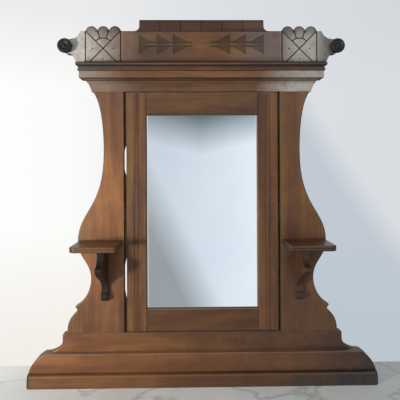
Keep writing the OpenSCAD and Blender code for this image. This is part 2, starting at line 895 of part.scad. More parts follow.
// Small screws lie along X: out of the opening for the sockets, into the frame for the pins
module at_socket_screws() {
  for (s = [-1, 1]) translate([x_socket_face, y_pivot, z_pivot + s * plate_screw_z]) children();
}

module at_pin_screws() {
  for (s = [-1, 1])
    translate([x_pin_face, y_pivot, z_pivot + s * plate_screw_z]) mirror([1, 0, 0]) children();
}

module small_screw_x(l) {
  rotate([0, 0, 90]) screw(l, small_screw_r, small_screw_head_r, small_head_h);
}

module small_hole_x(l) {
  rotate([0, 0, 90]) screw_hole(l, small_screw_r, small_screw_head_r, small_head_h);
}

module pivot_plate(x) {
  block([x, y_pivot - pivot_plate_w / 2, z_pivot - pivot_plate_h / 2],
        [x + pivot_plate_t, y_pivot + pivot_plate_w / 2, z_pivot + pivot_plate_h / 2]);
}

// Plate with a socket let into the side board's edge
module pivot_socket() {
  difference() {
    union() {
      pivot_plate(x_socket_face);
      translate([x_open - overlap, y_pivot, z_pivot]) rotate([0, 90, 0])
        cylinder(h = socket_depth + overlap, r = socket_r);
    }
    translate([x_socket_face - overlap, y_pivot, z_pivot]) rotate([0, 90, 0])
      cylinder(h = pivot_plate_t + pin_reach + overlap + 1, r = pin_r + pin_clear);
    at_socket_screws() small_hole_x(plate_screw_l);
  }
}

module left_pivot_socket() {
  color(iron) on_left() pivot_socket();
}

module right_pivot_socket() {
  color(iron) pivot_socket();
}

module socket_screws() {
  color(iron) for (side = [0, 1]) mirror([side, 0, 0])
    at_socket_screws() small_screw_x(plate_screw_l);
}

// Plate with a pin, fixed to the frame's edge
module pivot_pin() {
  difference() {
    union() {
      pivot_plate(x_frame);
      translate([x_pin_face - overlap, y_pivot, z_pivot]) rotate([0, 90, 0])
        cylinder(h = x_open - x_pin_face + pin_reach + overlap, r = pin_r);
    }
    at_pin_screws() small_hole_x(plate_screw_l);
  }
}

module left_pivot_pin() {
  color(iron) on_left() pivot_pin();
}

module right_pivot_pin() {
  color(iron) pivot_pin();
}

module pin_screws() {
  color(iron) for (side = [0, 1]) mirror([side, 0, 0])
    at_pin_screws() small_screw_x(plate_screw_l);
}

// Section of a stile in X and Y, with the reeded band and the rebate
function stile_section() =
  let (reed_r = (reed_band_w / 2 - reed_quirk) / reed_count,
       x_band = x_sight + (stile_w + reed_band_w) / 2,
       y_deep = y_frame_front + reed_r)
  concat(
    [[x_frame, y_frame_front], [x_band, y_frame_front], [x_band, y_deep]],
    [for (i = [0:reed_count - 1]) each
      arc(x_band - reed_quirk - (2 * i + 1) * reed_r, y_deep, reed_r, 0, -180, 6)],
    [[x_band - reed_band_w, y_deep], [x_band - reed_band_w, y_frame_front],
     [x_sight + sight_bevel, y_frame_front], [x_sight, y_frame_front + sight_bevel],
     [x_sight, y_plate], [x_rebate, y_plate], [x_rebate, y_frame_back], [x_frame, y_frame_back]]);

// Tenon of a frame rail, grown by g for its mortise
module frame_tenon(z, g = 0) {
  tip = g > 0 ? tip_clear : 0;
  y_low = (y_plate + y_frame_back - frame_tenon_t) / 2;
  block([x_rebate - overlap, y_low - g, z - g],
        [x_rebate + frame_tenon_l + tip, y_low + frame_tenon_t + g, z + frame_tenon_h + g]);
}

module stile() {
  difference() {
    translate([0, 0, z_frame]) linear_extrude(frame_h) polygon(stile_section());
    for (z = frame_tenon_zs) frame_tenon(z, joint_clear);
    at_pin_screws() small_hole_x(plate_screw_l);
    at_nails() nail_hole();
  }
}

module left_stile() {
  color(walnut_light) on_left() stile();
}

module right_stile() {
  color(walnut) stile();
}

// The bottom rail: its front shoulders meet the stiles' lips, its back ones their rebates
module frame_rail() {
  run_x(-x_sight, x_sight, y_plate, z_frame)
    polygon([[0, 0], [lip_t, 0], [lip_t, frame_rail_w - sight_bevel],
             [lip_t - sight_bevel, frame_rail_w], [0, frame_rail_w]]);
  block([-x_rebate, y_plate, z_frame], [x_rebate, y_frame_back, z_sight - rail_rebate_w]);
  for (side = [0, 1]) mirror([side, 0, 0]) frame_tenon(frame_tenon_zs[0]);
}

module bottom_frame_rail() {
  color(walnut) frame_rail();
}

module top_frame_rail() {
  color(walnut) translate([0, 0, z_pivot]) mirror([0, 0, 1]) translate([0, 0, -z_pivot])
    frame_rail();
}

module mirror_plate() {
  color(silvered) block([-x_plate, y_plate, z_plate],
                        [x_plate, y_plate + plate_t, z_plate + plate_h]);
}

// Small glued blocks behind the plate's edges, against the rebate
module plate_blocks() {
  y0 = y_plate + plate_t;
  color(pine) for (side = [0, 1]) mirror([side, 0, 0]) {
    for (rise = plate_block_rises)
      translate([0, 0, z_sight + sight_h * rise - plate_block_l / 2]) linear_extrude(plate_block_l)
        polygon([[x_rebate, y0], [x_rebate, y_frame_back], [x_rebate - plate_block_w, y0]]);
  }
  color(pine) for (top = [0, 1]) translate([0, 0, z_pivot]) mirror([0, 0, top])
    translate([0, 0, z_sight - rail_rebate_w - z_pivot])
      run_x(-plate_block_l / 2, plate_block_l / 2, y0, 0)
        polygon([[0, 0], [y0 - y_frame_back, 0], [0, plate_block_w]]);
}

module at_nails() {
  for (rise = nail_rises)
    translate([x_panel - nail_inset, y_frame_back + back_panel_t, z_panel + panel_h * rise])
      children();
}

module nail_hole() {
  translate([0, overlap, 0]) rotate([90, 0, 0])
    cylinder(h = nail_l + overlap + joint_clear, r = nail_r + joint_clear / 2);
}

module back_panel() {
  color(pine) difference() {
    block([-x_panel, y_frame_back, z_panel],
          [x_panel, y_frame_back + back_panel_t, z_panel + panel_h]);
    for (side = [0, 1]) mirror([side, 0, 0]) at_nails() nail_hole();
  }
}

module panel_nails() {
  color(iron) for (side = [0, 1]) mirror([side, 0, 0]) at_nails() rotate([90, 0, 0]) {
    cylinder(h = nail_l, r = nail_r);
    translate([0, 0, -nail_r]) cylinder(h = nail_r, r = 2 * nail_r);
  }
}

left_side_board();
right_side_board();
lower_rail();
top_rail();
base_board();
plinth_moulding();
bed_mould_front();
left_bed_mould_return();
right_bed_mould_return();
fascia_front();
left_fascia_end();
right_fascia_end();
cornice_cap();
crest_board();
crest_block();
left_knob();
right_knob();
left_shelf();
right_shelf();
left_bracket();
right_bracket();
left_batten();
right_batten();
batten_screws();
base_screws();
shelf_screws();
bracket_screws();
left_pivot_socket();
right_pivot_socket();
socket_screws();
left_stile();
right_stile();
top_frame_rail();
bottom_frame_rail();
mirror_plate();
plate_blocks();
back_panel();
panel_nails();
left_pivot_pin();
right_pivot_pin();
pin_screws();
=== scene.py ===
# %% [markdown]
# # A walnut vanity mirror
# This lesson dresses a dresser-top mirror: bandsawn side boards, a swinging mirror frame, two
# candle shelves on brackets, a moulded base, and a carved crest with turned knobs. The packed
# CAD model gives each piece's size and place. Blender adds the worn edges, the carving and the
# finishes. The scene is in metres, Z is up and the front faces -Y. Wear and outlines are worked
# out in millimetres, and MM turns one into the other.

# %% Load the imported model
import json
import math

import bmesh
import bpy
import numpy as np
from mathutils import Matrix, Vector


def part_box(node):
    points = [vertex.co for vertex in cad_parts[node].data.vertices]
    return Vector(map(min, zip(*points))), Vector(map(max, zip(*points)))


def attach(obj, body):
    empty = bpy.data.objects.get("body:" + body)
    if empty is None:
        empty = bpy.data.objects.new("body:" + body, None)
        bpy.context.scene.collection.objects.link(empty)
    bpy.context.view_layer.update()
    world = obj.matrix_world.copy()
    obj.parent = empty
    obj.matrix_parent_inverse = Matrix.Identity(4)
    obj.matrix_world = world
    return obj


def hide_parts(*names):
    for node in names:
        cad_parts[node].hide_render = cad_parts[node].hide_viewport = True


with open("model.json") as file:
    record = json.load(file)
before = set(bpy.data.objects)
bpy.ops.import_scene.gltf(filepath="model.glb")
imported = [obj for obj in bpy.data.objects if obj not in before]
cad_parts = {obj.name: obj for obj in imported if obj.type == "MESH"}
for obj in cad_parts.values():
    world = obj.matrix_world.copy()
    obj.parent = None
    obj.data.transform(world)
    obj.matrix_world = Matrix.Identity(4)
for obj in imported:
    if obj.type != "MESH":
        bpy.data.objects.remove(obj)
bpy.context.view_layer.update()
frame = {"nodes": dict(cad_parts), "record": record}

MM = 0.001

# %% [markdown]
# ## The camera
# The photograph was taken a little left of the middle, at the height of the glass. A camera that
# is level keeps upright edges upright, so the frame is lowered with a small shift instead of a
# tilt, as with a view camera. The place, the turn and the lens come from fitting known corners.
# Turn and roll are in radians. The lens and the row it looks along are in the picture's pixels.

# %% Camera
def add_object(name, data):
    """A new object in the scene with this mesh, lamp or camera."""
    made = bpy.data.objects.new(name, data)
    bpy.context.collection.objects.link(made)
    return made


camera_place = Vector((-31.2, -1419.5, 649.0)) * MM
camera_turn = 0.0175
camera_roll = -0.0046
focal_pixels = 464.86
axis_row = 167.5
picture = 400

camera_data = bpy.data.cameras.new("camera")
camera_data.sensor_width = 36
camera_data.lens = focal_pixels / picture * camera_data.sensor_width
camera_data.shift_y = (axis_row - picture / 2) / picture
camera = add_object("camera", camera_data)

forward = Vector((math.sin(camera_turn), math.cos(camera_turn), 0))
across = forward.cross(Vector((0, 0, 1)))
up = across.cross(forward)
right = across * math.cos(camera_roll) + up * math.sin(camera_roll)
turned = Matrix((right, right.cross(forward), -forward)).transposed()
camera.matrix_world = Matrix.Translation(camera_place) @ turned.to_4x4()
bpy.context.scene.camera = camera
print("lens", round(camera_data.lens, 2), "mm, shift", round(camera_data.shift_y, 4))

# %% [markdown]
# ## Building materials from nodes
# Each finish below is a small tree of nodes. A helper makes a node and fills its sockets by
# name, so a tree reads as a list of steps. A socket knows its tree, so a new node joins the tree
# of the sockets it is given. Patterns use Object coordinates, which are the model's own metres,
# because every piece has its place in its mesh.

# %% Node helpers
def is_socket(value):
    """Whether a value is another node's socket, and not a number or a colour."""
    return isinstance(value, bpy.types.NodeSocket)


def fill(node, inputs):
    """Gives each named socket of a node a value, or links it to another node's socket."""
    for name, value in inputs.items():
        if is_socket(value):
            node.id_data.links.new(value, node.inputs[name])
        else:
            node.inputs[name].default_value = value


def add_node(kind, inputs, tree=None, **settings):
    """A node of a kind, in the tree of its first socket input or in the tree given."""
    tree = tree or next(value.id_data for value in inputs.values() if is_socket(value))
    made = tree.nodes.new("ShaderNode" + kind)
    for name, value in settings.items():
        setattr(made, name, value)
    fill(made, inputs)
    return made


def new_material(name):
    """A new material, its Principled shader and its texture coordinates."""
    material = bpy.data.materials.new(name)
    material.use_nodes = True
    tree = material.node_tree
    return material, tree.nodes["Principled BSDF"], add_node("TexCoord", {}, tree).outputs


def linear(red, green, blue):
    """A colour given as it looks on a screen, 0 to 255, as the linear light Blender wants."""
    screen = np.array([red, green, blue]) / 255
    light = np.where(screen < 0.04045, screen / 12.92, ((screen + 0.055) / 1.055) ** 2.4)
    return (*light.tolist(), 1.0)


def ramp(factor, stops):
    """A colour ramp through (position, colour) stops."""
    made = add_node("ValToRGB", {"Fac": factor})
    elements = made.color_ramp.elements
    elements[0].position, elements[0].color = stops[0]
    elements[1].position, elements[1].color = stops[-1]
    for position, colour in stops[1:-1]:
        elements.new(position).color = colour
    return made.outputs["Color"]


def mix(factor, low, high, blend="MIX"):
    """Two colours mixed by a factor. A Mix node keeps them on its sockets 6 and 7."""
    inputs = {0: factor, 6: low, 7: high}
    return add_node("Mix", inputs, data_type="RGBA", blend_type=blend).outputs[2]


def spread(value, low, high, to_low=0.0, to_high=1.0):
    """Maps a value from one range to another, and keeps it inside."""
    inputs = {"Value": value, "From Min": low, "From Max": high, "To Min": to_low,
              "To Max": to_high}
    return add_node("MapRange", inputs).outputs["Result"]


def combine(operation, first, second=0.0):
    """One step of arithmetic on two values or sockets."""
    return add_node("Math", {0: first, 1: second}, operation=operation).outputs[0]


def times(first, second):
    """The product of two values or sockets."""
    return combine("MULTIPLY", first, second)


def split(vector):
    """A vector's X, Y and Z."""
    return add_node("SeparateXYZ", {"Vector": vector}).outputs


def noise(space, scale, detail, **more):
    """Cloudy noise over a space, which lies mostly between 0.3 and 0.7."""
    inputs = {"Vector": space, "Scale": scale, "Detail": detail, **more}
    return add_node("TexNoise", inputs).outputs["Fac"]


# %% [markdown]
# ## Walnut
# Old walnut has four things at four scales: broad patches that run from golden to red brown,
# growth rings that drift along the board, fine fibres, and short dark pores. All of them stretch
# along the grain, so one Mapping node turns the space and others squeeze it, and each board
# starts at its own place in the pattern. The varnish over them has gone uneven, in blotches that
# don't follow the grain.
#
# Age and light lie over the wood. Sawn edges drank more stain, so a face that looks sideways is
# darker than the planed front; on the cornice and cap the same darkening is painted shade in the
# coves and under the mouldings. An arris that looks up has been wiped for a century and is paler,
# and that paleness is also a painted highlight. A ledge holds dust. The rest depends on where
# along the mirror a point is, so it follows X or Z, in patches, and only where the wood faces the
# room: some of it is age, and some is painted shade and painted sheen.

# %% Grain of walnut
GRAIN_TURN = {"upright": (0, math.pi / 2, 0), "along": (0, 0, 0)}
WOOD_COLOURS = [(0.26, linear(84, 49, 29)), (0.40, linear(114, 67, 38)),
                (0.50, linear(138, 87, 47)), (0.60, linear(158, 107, 58)),
                (0.76, linear(136, 74, 40))]
DARK_GRAIN = linear(60, 38, 27)
PORE = linear(36, 25, 19)


def walnut_grain(place, grain, start, bold):
    """Colour of bare walnut, with its fibres and pores as values."""
    turned = add_node("Mapping", {"Vector": place, "Rotation": GRAIN_TURN[grain],
                                  "Location": (start * 1.7, start * 0.31, start * 0.53)})
    board = turned.outputs["Vector"]

    def streaks(along, over, detail, rough=0.55):
        squeezed = add_node("Mapping", {"Vector": board, "Scale": (along, over, over)})
        return noise(squeezed.outputs["Vector"], 1.0, detail, Roughness=rough)

    patches = streaks(2.4, 14.0, 3.0)
    bands = streaks(2.0, 55.0, 2.0, 0.5)
    fibres = streaks(9.0, 420.0, 4.0, 0.7)
    pores = streaks(45.0, 900.0, 1.0, 0.5)
    rings_space = add_node("Mapping", {"Vector": board, "Scale": (0.35, 6.0, 6.0)})
    rings = add_node("TexWave", {"Vector": rings_space.outputs["Vector"], "Scale": 1.6,
                                 "Distortion": 7.0, "Detail": 3.0, "Detail Scale": 1.2,
                                 "Detail Roughness": 0.6}, bands_direction="Y")

    figure = combine("ADD", patches, spread(bands, 0.3, 0.7, -0.06, 0.06))
    figure = combine("ADD", times(figure, bold), 0.5 - 0.5 * bold)
    body = ramp(figure, WOOD_COLOURS)
    ringed = spread(rings.outputs["Fac"], 0.1, 0.95, 0.0, 0.26 * bold)
    colour = mix(ringed, body, DARK_GRAIN)
    colour = mix(spread(fibres, 0.35, 0.7, 0.0, 0.28), colour, DARK_GRAIN)
    return mix(spread(pores, 0.66, 0.74, 0.0, 0.5), colour, PORE), fibres, pores


# %% Age and painted light on walnut
# Stain of sawn faces; on the cornice and cap it also paints shade in the coves.
SAWN_AND_SHADE = linear(45, 38, 34)
# A worn arris is paler, and this paleness is also a painted highlight.
WIPED_AND_LIT = linear(186, 148, 114)
DUST = linear(176, 172, 164)
# Near black: dark joints and ends, and painted shade on the right of the base, rail, plinth,
# cornice and cap.
NEAR_BLACK = linear(28, 27, 25)
UMBER = linear(70, 57, 48)
# Grey brown for the left board's head.
GREY_BROWN = linear(74, 55, 41)
FADED = linear(134, 106, 90)
GREYED = linear(100, 99, 97)
# Pale greys of sun-bleached ends, which also paint the lamps' sheen there.
SUNNED_AND_SHEEN = linear(178, 176, 171)
BLEACHED_AND_SHEEN = linear(192, 189, 184)


def squareness(normal, axes):
    """How squarely a face looks along the axes: the length of that part of its normal."""
    squares = 0.0
    for axis in axes:
        squares = combine("ADD", squares, times(normal[axis], normal[axis]))
    return combine("SQRT", squares)


def walnut(name, grain, start, tone=1.0, cool=0.0, bold=1.0, planed="Y", sawn=0.85, wiped_and_lit=0.5,
           dusty=0.0, gloss=0.38, age_and_light=(), carved=False):
    """Walnut with its grain upright or along X. start picks the board's figure.

    tone darkens the board, cool takes red out of it, and bold strengthens its figure. planed
    names the axes that the planed faces look along; other faces are sawn, and darker, and on the
    cornice and cap that darkening is also painted shade in the coves. The next two lighten what
    looks up: the first makes an arris pale with wear and a painted highlight, the second lays
    dust on a ledge. The list of age and light holds (axis, near, full, most, colour): from near
    to full on the axis, in metres, the colour takes over up to the share most; its entries are
    age, painted shade and painted sheen. carved darkens what the cut attribute marks: the cuts,
    and painted shade on the crest.
    """
    material, shader, coordinates = new_material(name)
    place = coordinates["Object"]
    spot, normal = split(place), split(coordinates["Normal"])
    colour, fibres, pores = walnut_grain(place, grain, start, bold)
    colour = mix(1.0, colour, (tone * (1 - cool), tone, tone * (1 + cool), 1), "MULTIPLY")
    varnish = noise(place, 13.0, 7.0, Roughness=0.62)
    colour = mix(1.0, colour, spread(varnish, 0.36, 0.64, 0.84, 1.14), "MULTIPLY")

    mottle = noise(place, 48.0, 8.0, Roughness=0.68)
    patchy = times(spread(mottle, 0.36, 0.56, 0.66, 1.05), spread(normal["Y"], 0.6, 0.3))
    # Age along X or Z, and painted shade and painted sheen, laid on in patches.
    for axis, near, full, most, tint in age_and_light:
        reach = spread(spot[axis], near, full, 0.0, most)
        colour = mix(times(reach, patchy), colour, tint)

    # Sideways faces are darker: stain on sawn grain, and on the cornice and cap painted shade in
    # the coves.
    edge = spread(squareness(normal, planed), 0.96, 0.80, 0.0, sawn)
    stain_and_shade = (*(value * max(tone, 0.25) for value in SAWN_AND_SHADE[:3]), 1)
    colour = mix(edge, colour, stain_and_shade)
    # Arrises that look up are paler: wear, and a painted highlight.
    upward_highlight = times(spread(normal["Z"], 0.3, 0.55, 0.0, wiped_and_lit), spread(normal["Z"], 0.92, 0.8))
    colour = mix(upward_highlight, colour, WIPED_AND_LIT)
    if dusty:
        colour = mix(spread(normal["Z"], 0.55, 0.9, 0.0, dusty), colour, DUST)
    rough = combine("ADD", spread(fibres, 0.3, 0.7, gloss, gloss + 0.14), times(edge, 0.4))
    # The cut attribute darkens the carving, and carries the crest's painted shade.
    if carved:
        cut = add_node("Attribute", {}, shader.id_data, attribute_name="cut").outputs["Fac"]
        colour = mix(cut, colour, PORE)
        rough = combine("ADD", rough, times(cut, 0.5))

    relief = combine("SUBTRACT", fibres, pores)
    bump = add_node("Bump", {"Strength": 0.3, "Distance": 0.0004, "Height": relief})
    fill(shader, {"Base Color": colour, "Roughness": rough, "Specular IOR Level": 0.35,
                  "Coat Weight": 0.12, "Coat Roughness": 0.24, "Normal": bump.outputs["Normal"]})
    return material


# %% [markdown]
# ## The other finishes
# The knobs are ebonised: plain turned wood, stained black and polished by hands. The back
# panel, battens and glue blocks are bare pine that has gone orange. The pivots are iron with a
# brown skin. The glass is a silvered plate, so it is a near-perfect mirror with a faint tint.

# %% Dark wood, pine, iron and glass
def ebonised(name):
    """Black stain over wood, with brown showing faintly where it is rubbed."""
    material, shader, coordinates = new_material(name)
    rubbed = noise(coordinates["Object"], 140.0, 4.0)
    colour = ramp(rubbed, [(0.35, linear(18, 17, 18)), (0.7, linear(40, 34, 32))])
    fill(shader, {"Base Color": colour, "Roughness": 0.42, "Specular IOR Level": 0.3})
    return material


def pine(name):
    """Bare upright pine: pale early wood between thin orange rings."""
    material, shader, coordinates = new_material(name)
    place = coordinates["Object"]
    turned = add_node("Mapping", {"Vector": place, "Rotation": GRAIN_TURN["upright"],
                                  "Scale": (0.6, 9.0, 9.0)})
    rings = add_node("TexWave", {"Vector": turned.outputs["Vector"], "Scale": 2.2,
                                 "Distortion": 4.0, "Detail": 2.0}, bands_direction="Y")
    ringed = ramp(rings.outputs["Fac"], [(0.2, linear(186, 140, 92)), (0.8, linear(150, 98, 58))])
    dirt = spread(noise(place, 9.0, 5.0), 0.4, 0.75, 0.0, 0.5)
    fill(shader, {"Base Color": mix(dirt, ringed, linear(104, 78, 56)), "Roughness": 0.7})
    return material


def iron(name, light, dark, rough):
    """Old iron or steel: metal with a mottled skin."""
    material, shader, coordinates = new_material(name)
    mottle = noise(coordinates["Object"], 220.0, 5.0)
    fill(shader, {"Base Color": ramp(mottle, [(0.35, dark), (0.7, light)]),
                  "Roughness": spread(mottle, 0.3, 0.7, rough, rough + 0.2), "Metallic": 1.0})
    return material


def silvered_glass(name):
    """The silvered plate: a mirror with a cool tint and a trace of haze."""
    material, shader, coordinates = new_material(name)
    cloud = noise(coordinates["Object"], 4.0, 2.0)
    tint = ramp(cloud, [(0.3, (0.86, 0.89, 0.92, 1)), (0.7, (0.93, 0.95, 0.97, 1))])
    fill(shader, {"Base Color": tint, "Metallic": 1.0, "Roughness": 0.02})
    return material


# %% [markdown]
# ### Where age, painted shade and painted sheen lie
# Sun has bleached the ends of the crest, the cornice and the top rail, and their pale grey also
# paints the sheen that the lamps leave there. The lower rail, the base and the plinth darken
# towards the right, and the right ends of the cornice and cap are dark: that is painted shade.
# The plinth's left end is dark too. The side boards are darker towards their feet, and the left
# board is darker and greyer at its head. The frame's joints show as dark lines. So nearly every
# board gets a walnut of its own.

# %% Age, painted shade and painted sheen of each board
# The side boards darken towards their feet, and the left one also at its head, in grey brown.
left_board_darkening = [("Z", 0.58, 0.86, 0.55, GREY_BROWN), ("Z", 0.32, 0.18, 0.38, NEAR_BLACK)]
right_board_darkening = [("Z", 0.56, 0.42, 0.32, NEAR_BLACK), ("Z", 0.31, 0.22, 0.17, NEAR_BLACK)]
# Painted shade: the lower rail, base and plinth darken towards the right. The plinth's left end is
# dark as well.
lower_rail_painted_shade = [("X", -0.28, -0.05, 0.46, NEAR_BLACK), ("X", 0.05, 0.35, 0.2, NEAR_BLACK),
                   ("X", 0.36, 0.44, 0.5, NEAR_BLACK)]
base_painted_shade = [("X", -0.28, 0.20, 0.46, NEAR_BLACK), ("X", 0.33, 0.48, 0.92, NEAR_BLACK)]
plinth_shade_and_dark_end = [("X", -0.25, 0.15, 0.48, NEAR_BLACK), ("X", 0.20, 0.42, 0.97, NEAR_BLACK),
               ("X", -0.502, -0.516, 0.6, NEAR_BLACK)]
# Sun-bleached ends whose pale grey is also painted sheen; painted shade at the right ends of the
# cornice and cap.
top_rail_bleach_and_sheen = [("X", -0.18, -0.30, 0.2, BLEACHED_AND_SHEEN), ("X", 0.16, 0.28, 0.78, BLEACHED_AND_SHEEN)]
cornice_bleach_sheen_and_shade = [("X", -0.22, -0.36, 0.34, BLEACHED_AND_SHEEN), ("X", 0.17, 0.28, 0.7, SUNNED_AND_SHEEN),
                ("X", 0.37, 0.40, 0.6, NEAR_BLACK)]
cap_bleach_sheen_and_shade = [("X", -0.22, -0.36, 0.08, BLEACHED_AND_SHEEN), ("X", 0.28, 0.36, 0.8, NEAR_BLACK)]
crest_age_and_sheen = [("X", 0.0, -0.11, 0.6, UMBER), ("X", -0.185, -0.215, 0.4, FADED),
              ("X", -0.23, -0.36, 0.93, BLEACHED_AND_SHEEN), ("X", 0.08, 0.18, 0.6, GREYED),
              ("X", 0.235, 0.29, 0.95, SUNNED_AND_SHEEN), ("X", 0.34, 0.375, 0.97, GREYED)]
frame_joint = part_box("right_stile")[0].x
glue_lines = [("X", s * (frame_joint - 1.8 * MM), s * frame_joint, 0.7, NEAR_BLACK) for s in (1, -1)]
print("frame joints at X:", round(frame_joint, 4))

# %% The finishes of this mirror
walnut_left = walnut("walnut_left_board", "upright", 0.9, 0.93, age_and_light=left_board_darkening)
# The right board is a darker board, and its lower tone is also painted shade for the dimmer light
# at the right.
walnut_right = walnut("walnut_right_board", "upright", 8.3, 0.73, cool=0.12, bold=0.7,
                      age_and_light=right_board_darkening)
walnut_top_rail = walnut("walnut_top_rail", "along", 2.1, 0.67, cool=0.1, age_and_light=top_rail_bleach_and_sheen)
walnut_rail = walnut("walnut_lower_rail", "along", 3.6, 0.79, bold=0.6, planed="YZ", wiped_and_lit=0.1,
                     dusty=0.1, age_and_light=lower_rail_painted_shade)
walnut_base = walnut("walnut_base_board", "along", 5.2, 0.86, cool=0.02, bold=0.6, planed="YZ",
                     wiped_and_lit=0.15, dusty=0.12, age_and_light=base_painted_shade)
walnut_plinth = walnut("walnut_plinth", "along", 6.1, 0.57, bold=0.7, planed="YZ", wiped_and_lit=0.12,
                       age_and_light=plinth_shade_and_dark_end)
# On the cornice and cap the darker sideways faces are also painted shade in the coves, under the
# mouldings and along the cap's top arris.
walnut_cornice = walnut("walnut_cornice", "along", 7.4, 0.65, cool=0.12, sawn=0.7, wiped_and_lit=0.0,
                        age_and_light=cornice_bleach_sheen_and_shade)
walnut_cap = walnut("walnut_cap", "along", 8.1, 0.5, sawn=0.9, wiped_and_lit=0.0, age_and_light=cap_bleach_sheen_and_shade)
walnut_crest = walnut("walnut_crest", "along", 4.6, 0.76, cool=0.11, wiped_and_lit=0.0,
                      age_and_light=crest_age_and_sheen, carved=True)
walnut_block = walnut("walnut_block", "along", 9.7, 0.34, sawn=1.0, wiped_and_lit=0.0)
walnut_stiles = walnut("walnut_stiles", "upright", 6.5, 0.61, cool=0.07, sawn=0.45)
walnut_frame_top = walnut("walnut_frame_top", "along", 8.8, 0.44, cool=0.08, sawn=0.6,
                          age_and_light=glue_lines)
walnut_frame_foot = walnut("walnut_frame_foot", "along", 1.9, 0.4, sawn=0.6, age_and_light=glue_lines)
walnut_shelf = walnut("walnut_shelf", "along", 1.4, 0.45, planed="YZ", wiped_and_lit=0.12, gloss=0.3)
# The left bracket's very low tone is painted shade, as its seen side faces away from the key lamp;
# the right bracket is the lit copy.
walnut_left_bracket_painted_shade = walnut("walnut_left_bracket_painted_shade", "upright", 2.7, 0.1, planed="X", wiped_and_lit=0.0)
walnut_right_bracket = walnut("walnut_right_bracket", "upright", 4.1, 0.43, cool=0.06,
                              planed="X", sawn=0.5, wiped_and_lit=0.0)
black_knob = ebonised("ebonised_knob")
bare_pine = pine("pine_upright")
dark_iron = iron("dark_iron", linear(92, 84, 76), linear(48, 42, 38), 0.4)
screw_steel = iron("screw_steel", linear(132, 126, 118), linear(78, 70, 62), 0.32)
mirror_glass = silvered_glass("silvered_glass")
print("materials:", len(bpy.data.materials))

# %% [markdown]
# ## Copies of the CAD pieces
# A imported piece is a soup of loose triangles. A copy whose corners are merged and whose flat
# faces are joined again can take a bevel, which is what the hand does with sandpaper: no edge on
# old furniture is sharp, and the thin highlight on each arris is what makes it look real. The
# bandsawn outlines are worn to a broad chamfer, so each edge gets its own width as a bevel
# weight. The Weighted Normal modifier then keeps the flat faces flat beside the rounded edges.

# %% Copy and soften
def merged_copy(node, name):
    """A copy of a CAD node whose triangles share corners, with its flat faces joined."""
    mesh = frame["nodes"][node].data.copy()
    mesh.name = name
    shape = bmesh.new()
    shape.from_mesh(mesh)
    bmesh.ops.remove_doubles(shape, verts=shape.verts, dist=0.004 * MM)
    bmesh.ops.dissolve_limit(shape, angle_limit=math.radians(0.6), verts=shape.verts,
                             edges=shape.edges)
    shape.to_mesh(mesh)
    shape.free()
    return add_object(name, mesh)


def keep_flat(piece):
    """Weighted normals: each corner leans to its largest face, so flat faces stay flat."""
    flat = piece.modifiers.new("flat_faces", "WEIGHTED_NORMAL")
    flat.keep_sharp = True
    return piece


def soften(piece, wear):
    """Bevels each edge sharper than 32 degrees by the width that wear gives for its middle.

    wear takes the middles as an array, one row each, and gives widths in millimetres.
    """
    mesh = piece.data
    mesh.shade_smooth()
    shape = bmesh.new()
    shape.from_mesh(mesh)
    angles = np.array([edge.calc_face_angle(0.0) for edge in shape.edges])
    middles = np.array([(edge.verts[0].co + edge.verts[1].co) / 2 for edge in shape.edges])
    shape.free()
    widths = np.where(angles > math.radians(32), wear(middles), 0.0) * MM
    most = widths.max()
    weights = mesh.attributes.new("bevel_weight_edge", "FLOAT", "EDGE")
    weights.data.foreach_set("value", widths / most)
    bevel = piece.modifiers.new("worn_edges", "BEVEL")
    bevel.width = most
    bevel.segments = 2
    bevel.limit_method = "WEIGHT"
    bevel.use_clamp_overlap = False
    return keep_flat(piece)


def dress(piece, node, material):
    """Gives a piece its finish, hides the CAD node it stands for and puts it under that node's
    body.
    """
    piece.data.materials.clear()
    piece.data.materials.append(material)
    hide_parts(node)
    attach(piece, next(body for body, nodes in frame["record"]["behaviour"]["bodies"].items()
                        if node in nodes))


# %% [markdown]
# ### How far each edge is worn
# A plain arris has about a millimetre of wear. The sawn outline of a side board, the shoulders
# of the lower rail and the top of the cap were rounded by hand, and are much broader. A joint
# between two boards is tight, and the rims of the screw holes behind the shelves and brackets
# are hidden, so these have little wear or none.

# %% Wear of each edge
opening_edge, foot_edge = (corner.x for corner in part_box("right_side_board"))
rail_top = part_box("lower_rail")[1].z
board_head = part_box("top_rail")[0].z
base_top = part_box("base_board")[1].z
shelf_low, shelf_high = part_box("right_shelf")
shelf_screws_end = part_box("shelf_screws")[1].x
bracket_low, bracket_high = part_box("right_bracket")
cap_low, cap_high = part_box("cornice_cap")
outline_start, outline_gap, hair = 30 * MM, 4 * MM, 0.1 * MM
print("opening edge at X:", round(opening_edge, 4), "foot edge at X:", round(foot_edge, 4))


def even(width):
    """The same wear on every edge."""
    return lambda middles: np.full(len(middles), width)


def on_front(middles):
    """Edges on the foremost plane of the piece."""
    return middles[:, 1] < middles[:, 1].min() + 0.01 * MM


def cap_wear(middles):
    """Cap: a broad wear along its top front edge, and little elsewhere."""
    at_top = (middles[:, 2] > cap_high.z - MM) & (middles[:, 1] < cap_low.y + MM)
    return np.where(at_top, 3.2, 0.8)


def board_wear(middles):
    """Side boards: a broad chamfer on the sawn outline in front, below the head.

    The joint at the foot is tight, and the screw holes behind shelf and bracket have no wear.
    """
    out, z = np.abs(middles[:, 0]), middles[:, 2]
    sawn = ((out > opening_edge + outline_start) & (z > rail_top + outline_gap)
            & (z < board_head - outline_gap))
    behind_shelf = (z > shelf_low.z) & (z < shelf_high.z) & (out < shelf_screws_end)
    behind_bracket = ((z > bracket_low.z) & (z < shelf_low.z)
                      & (out > bracket_low.x) & (out < bracket_high.x))
    joint = z < rail_top + hair
    places = [behind_shelf | behind_bracket, joint, sawn & on_front(middles)]
    return np.select(places, [0, 0.3, 3.5], 1.0)


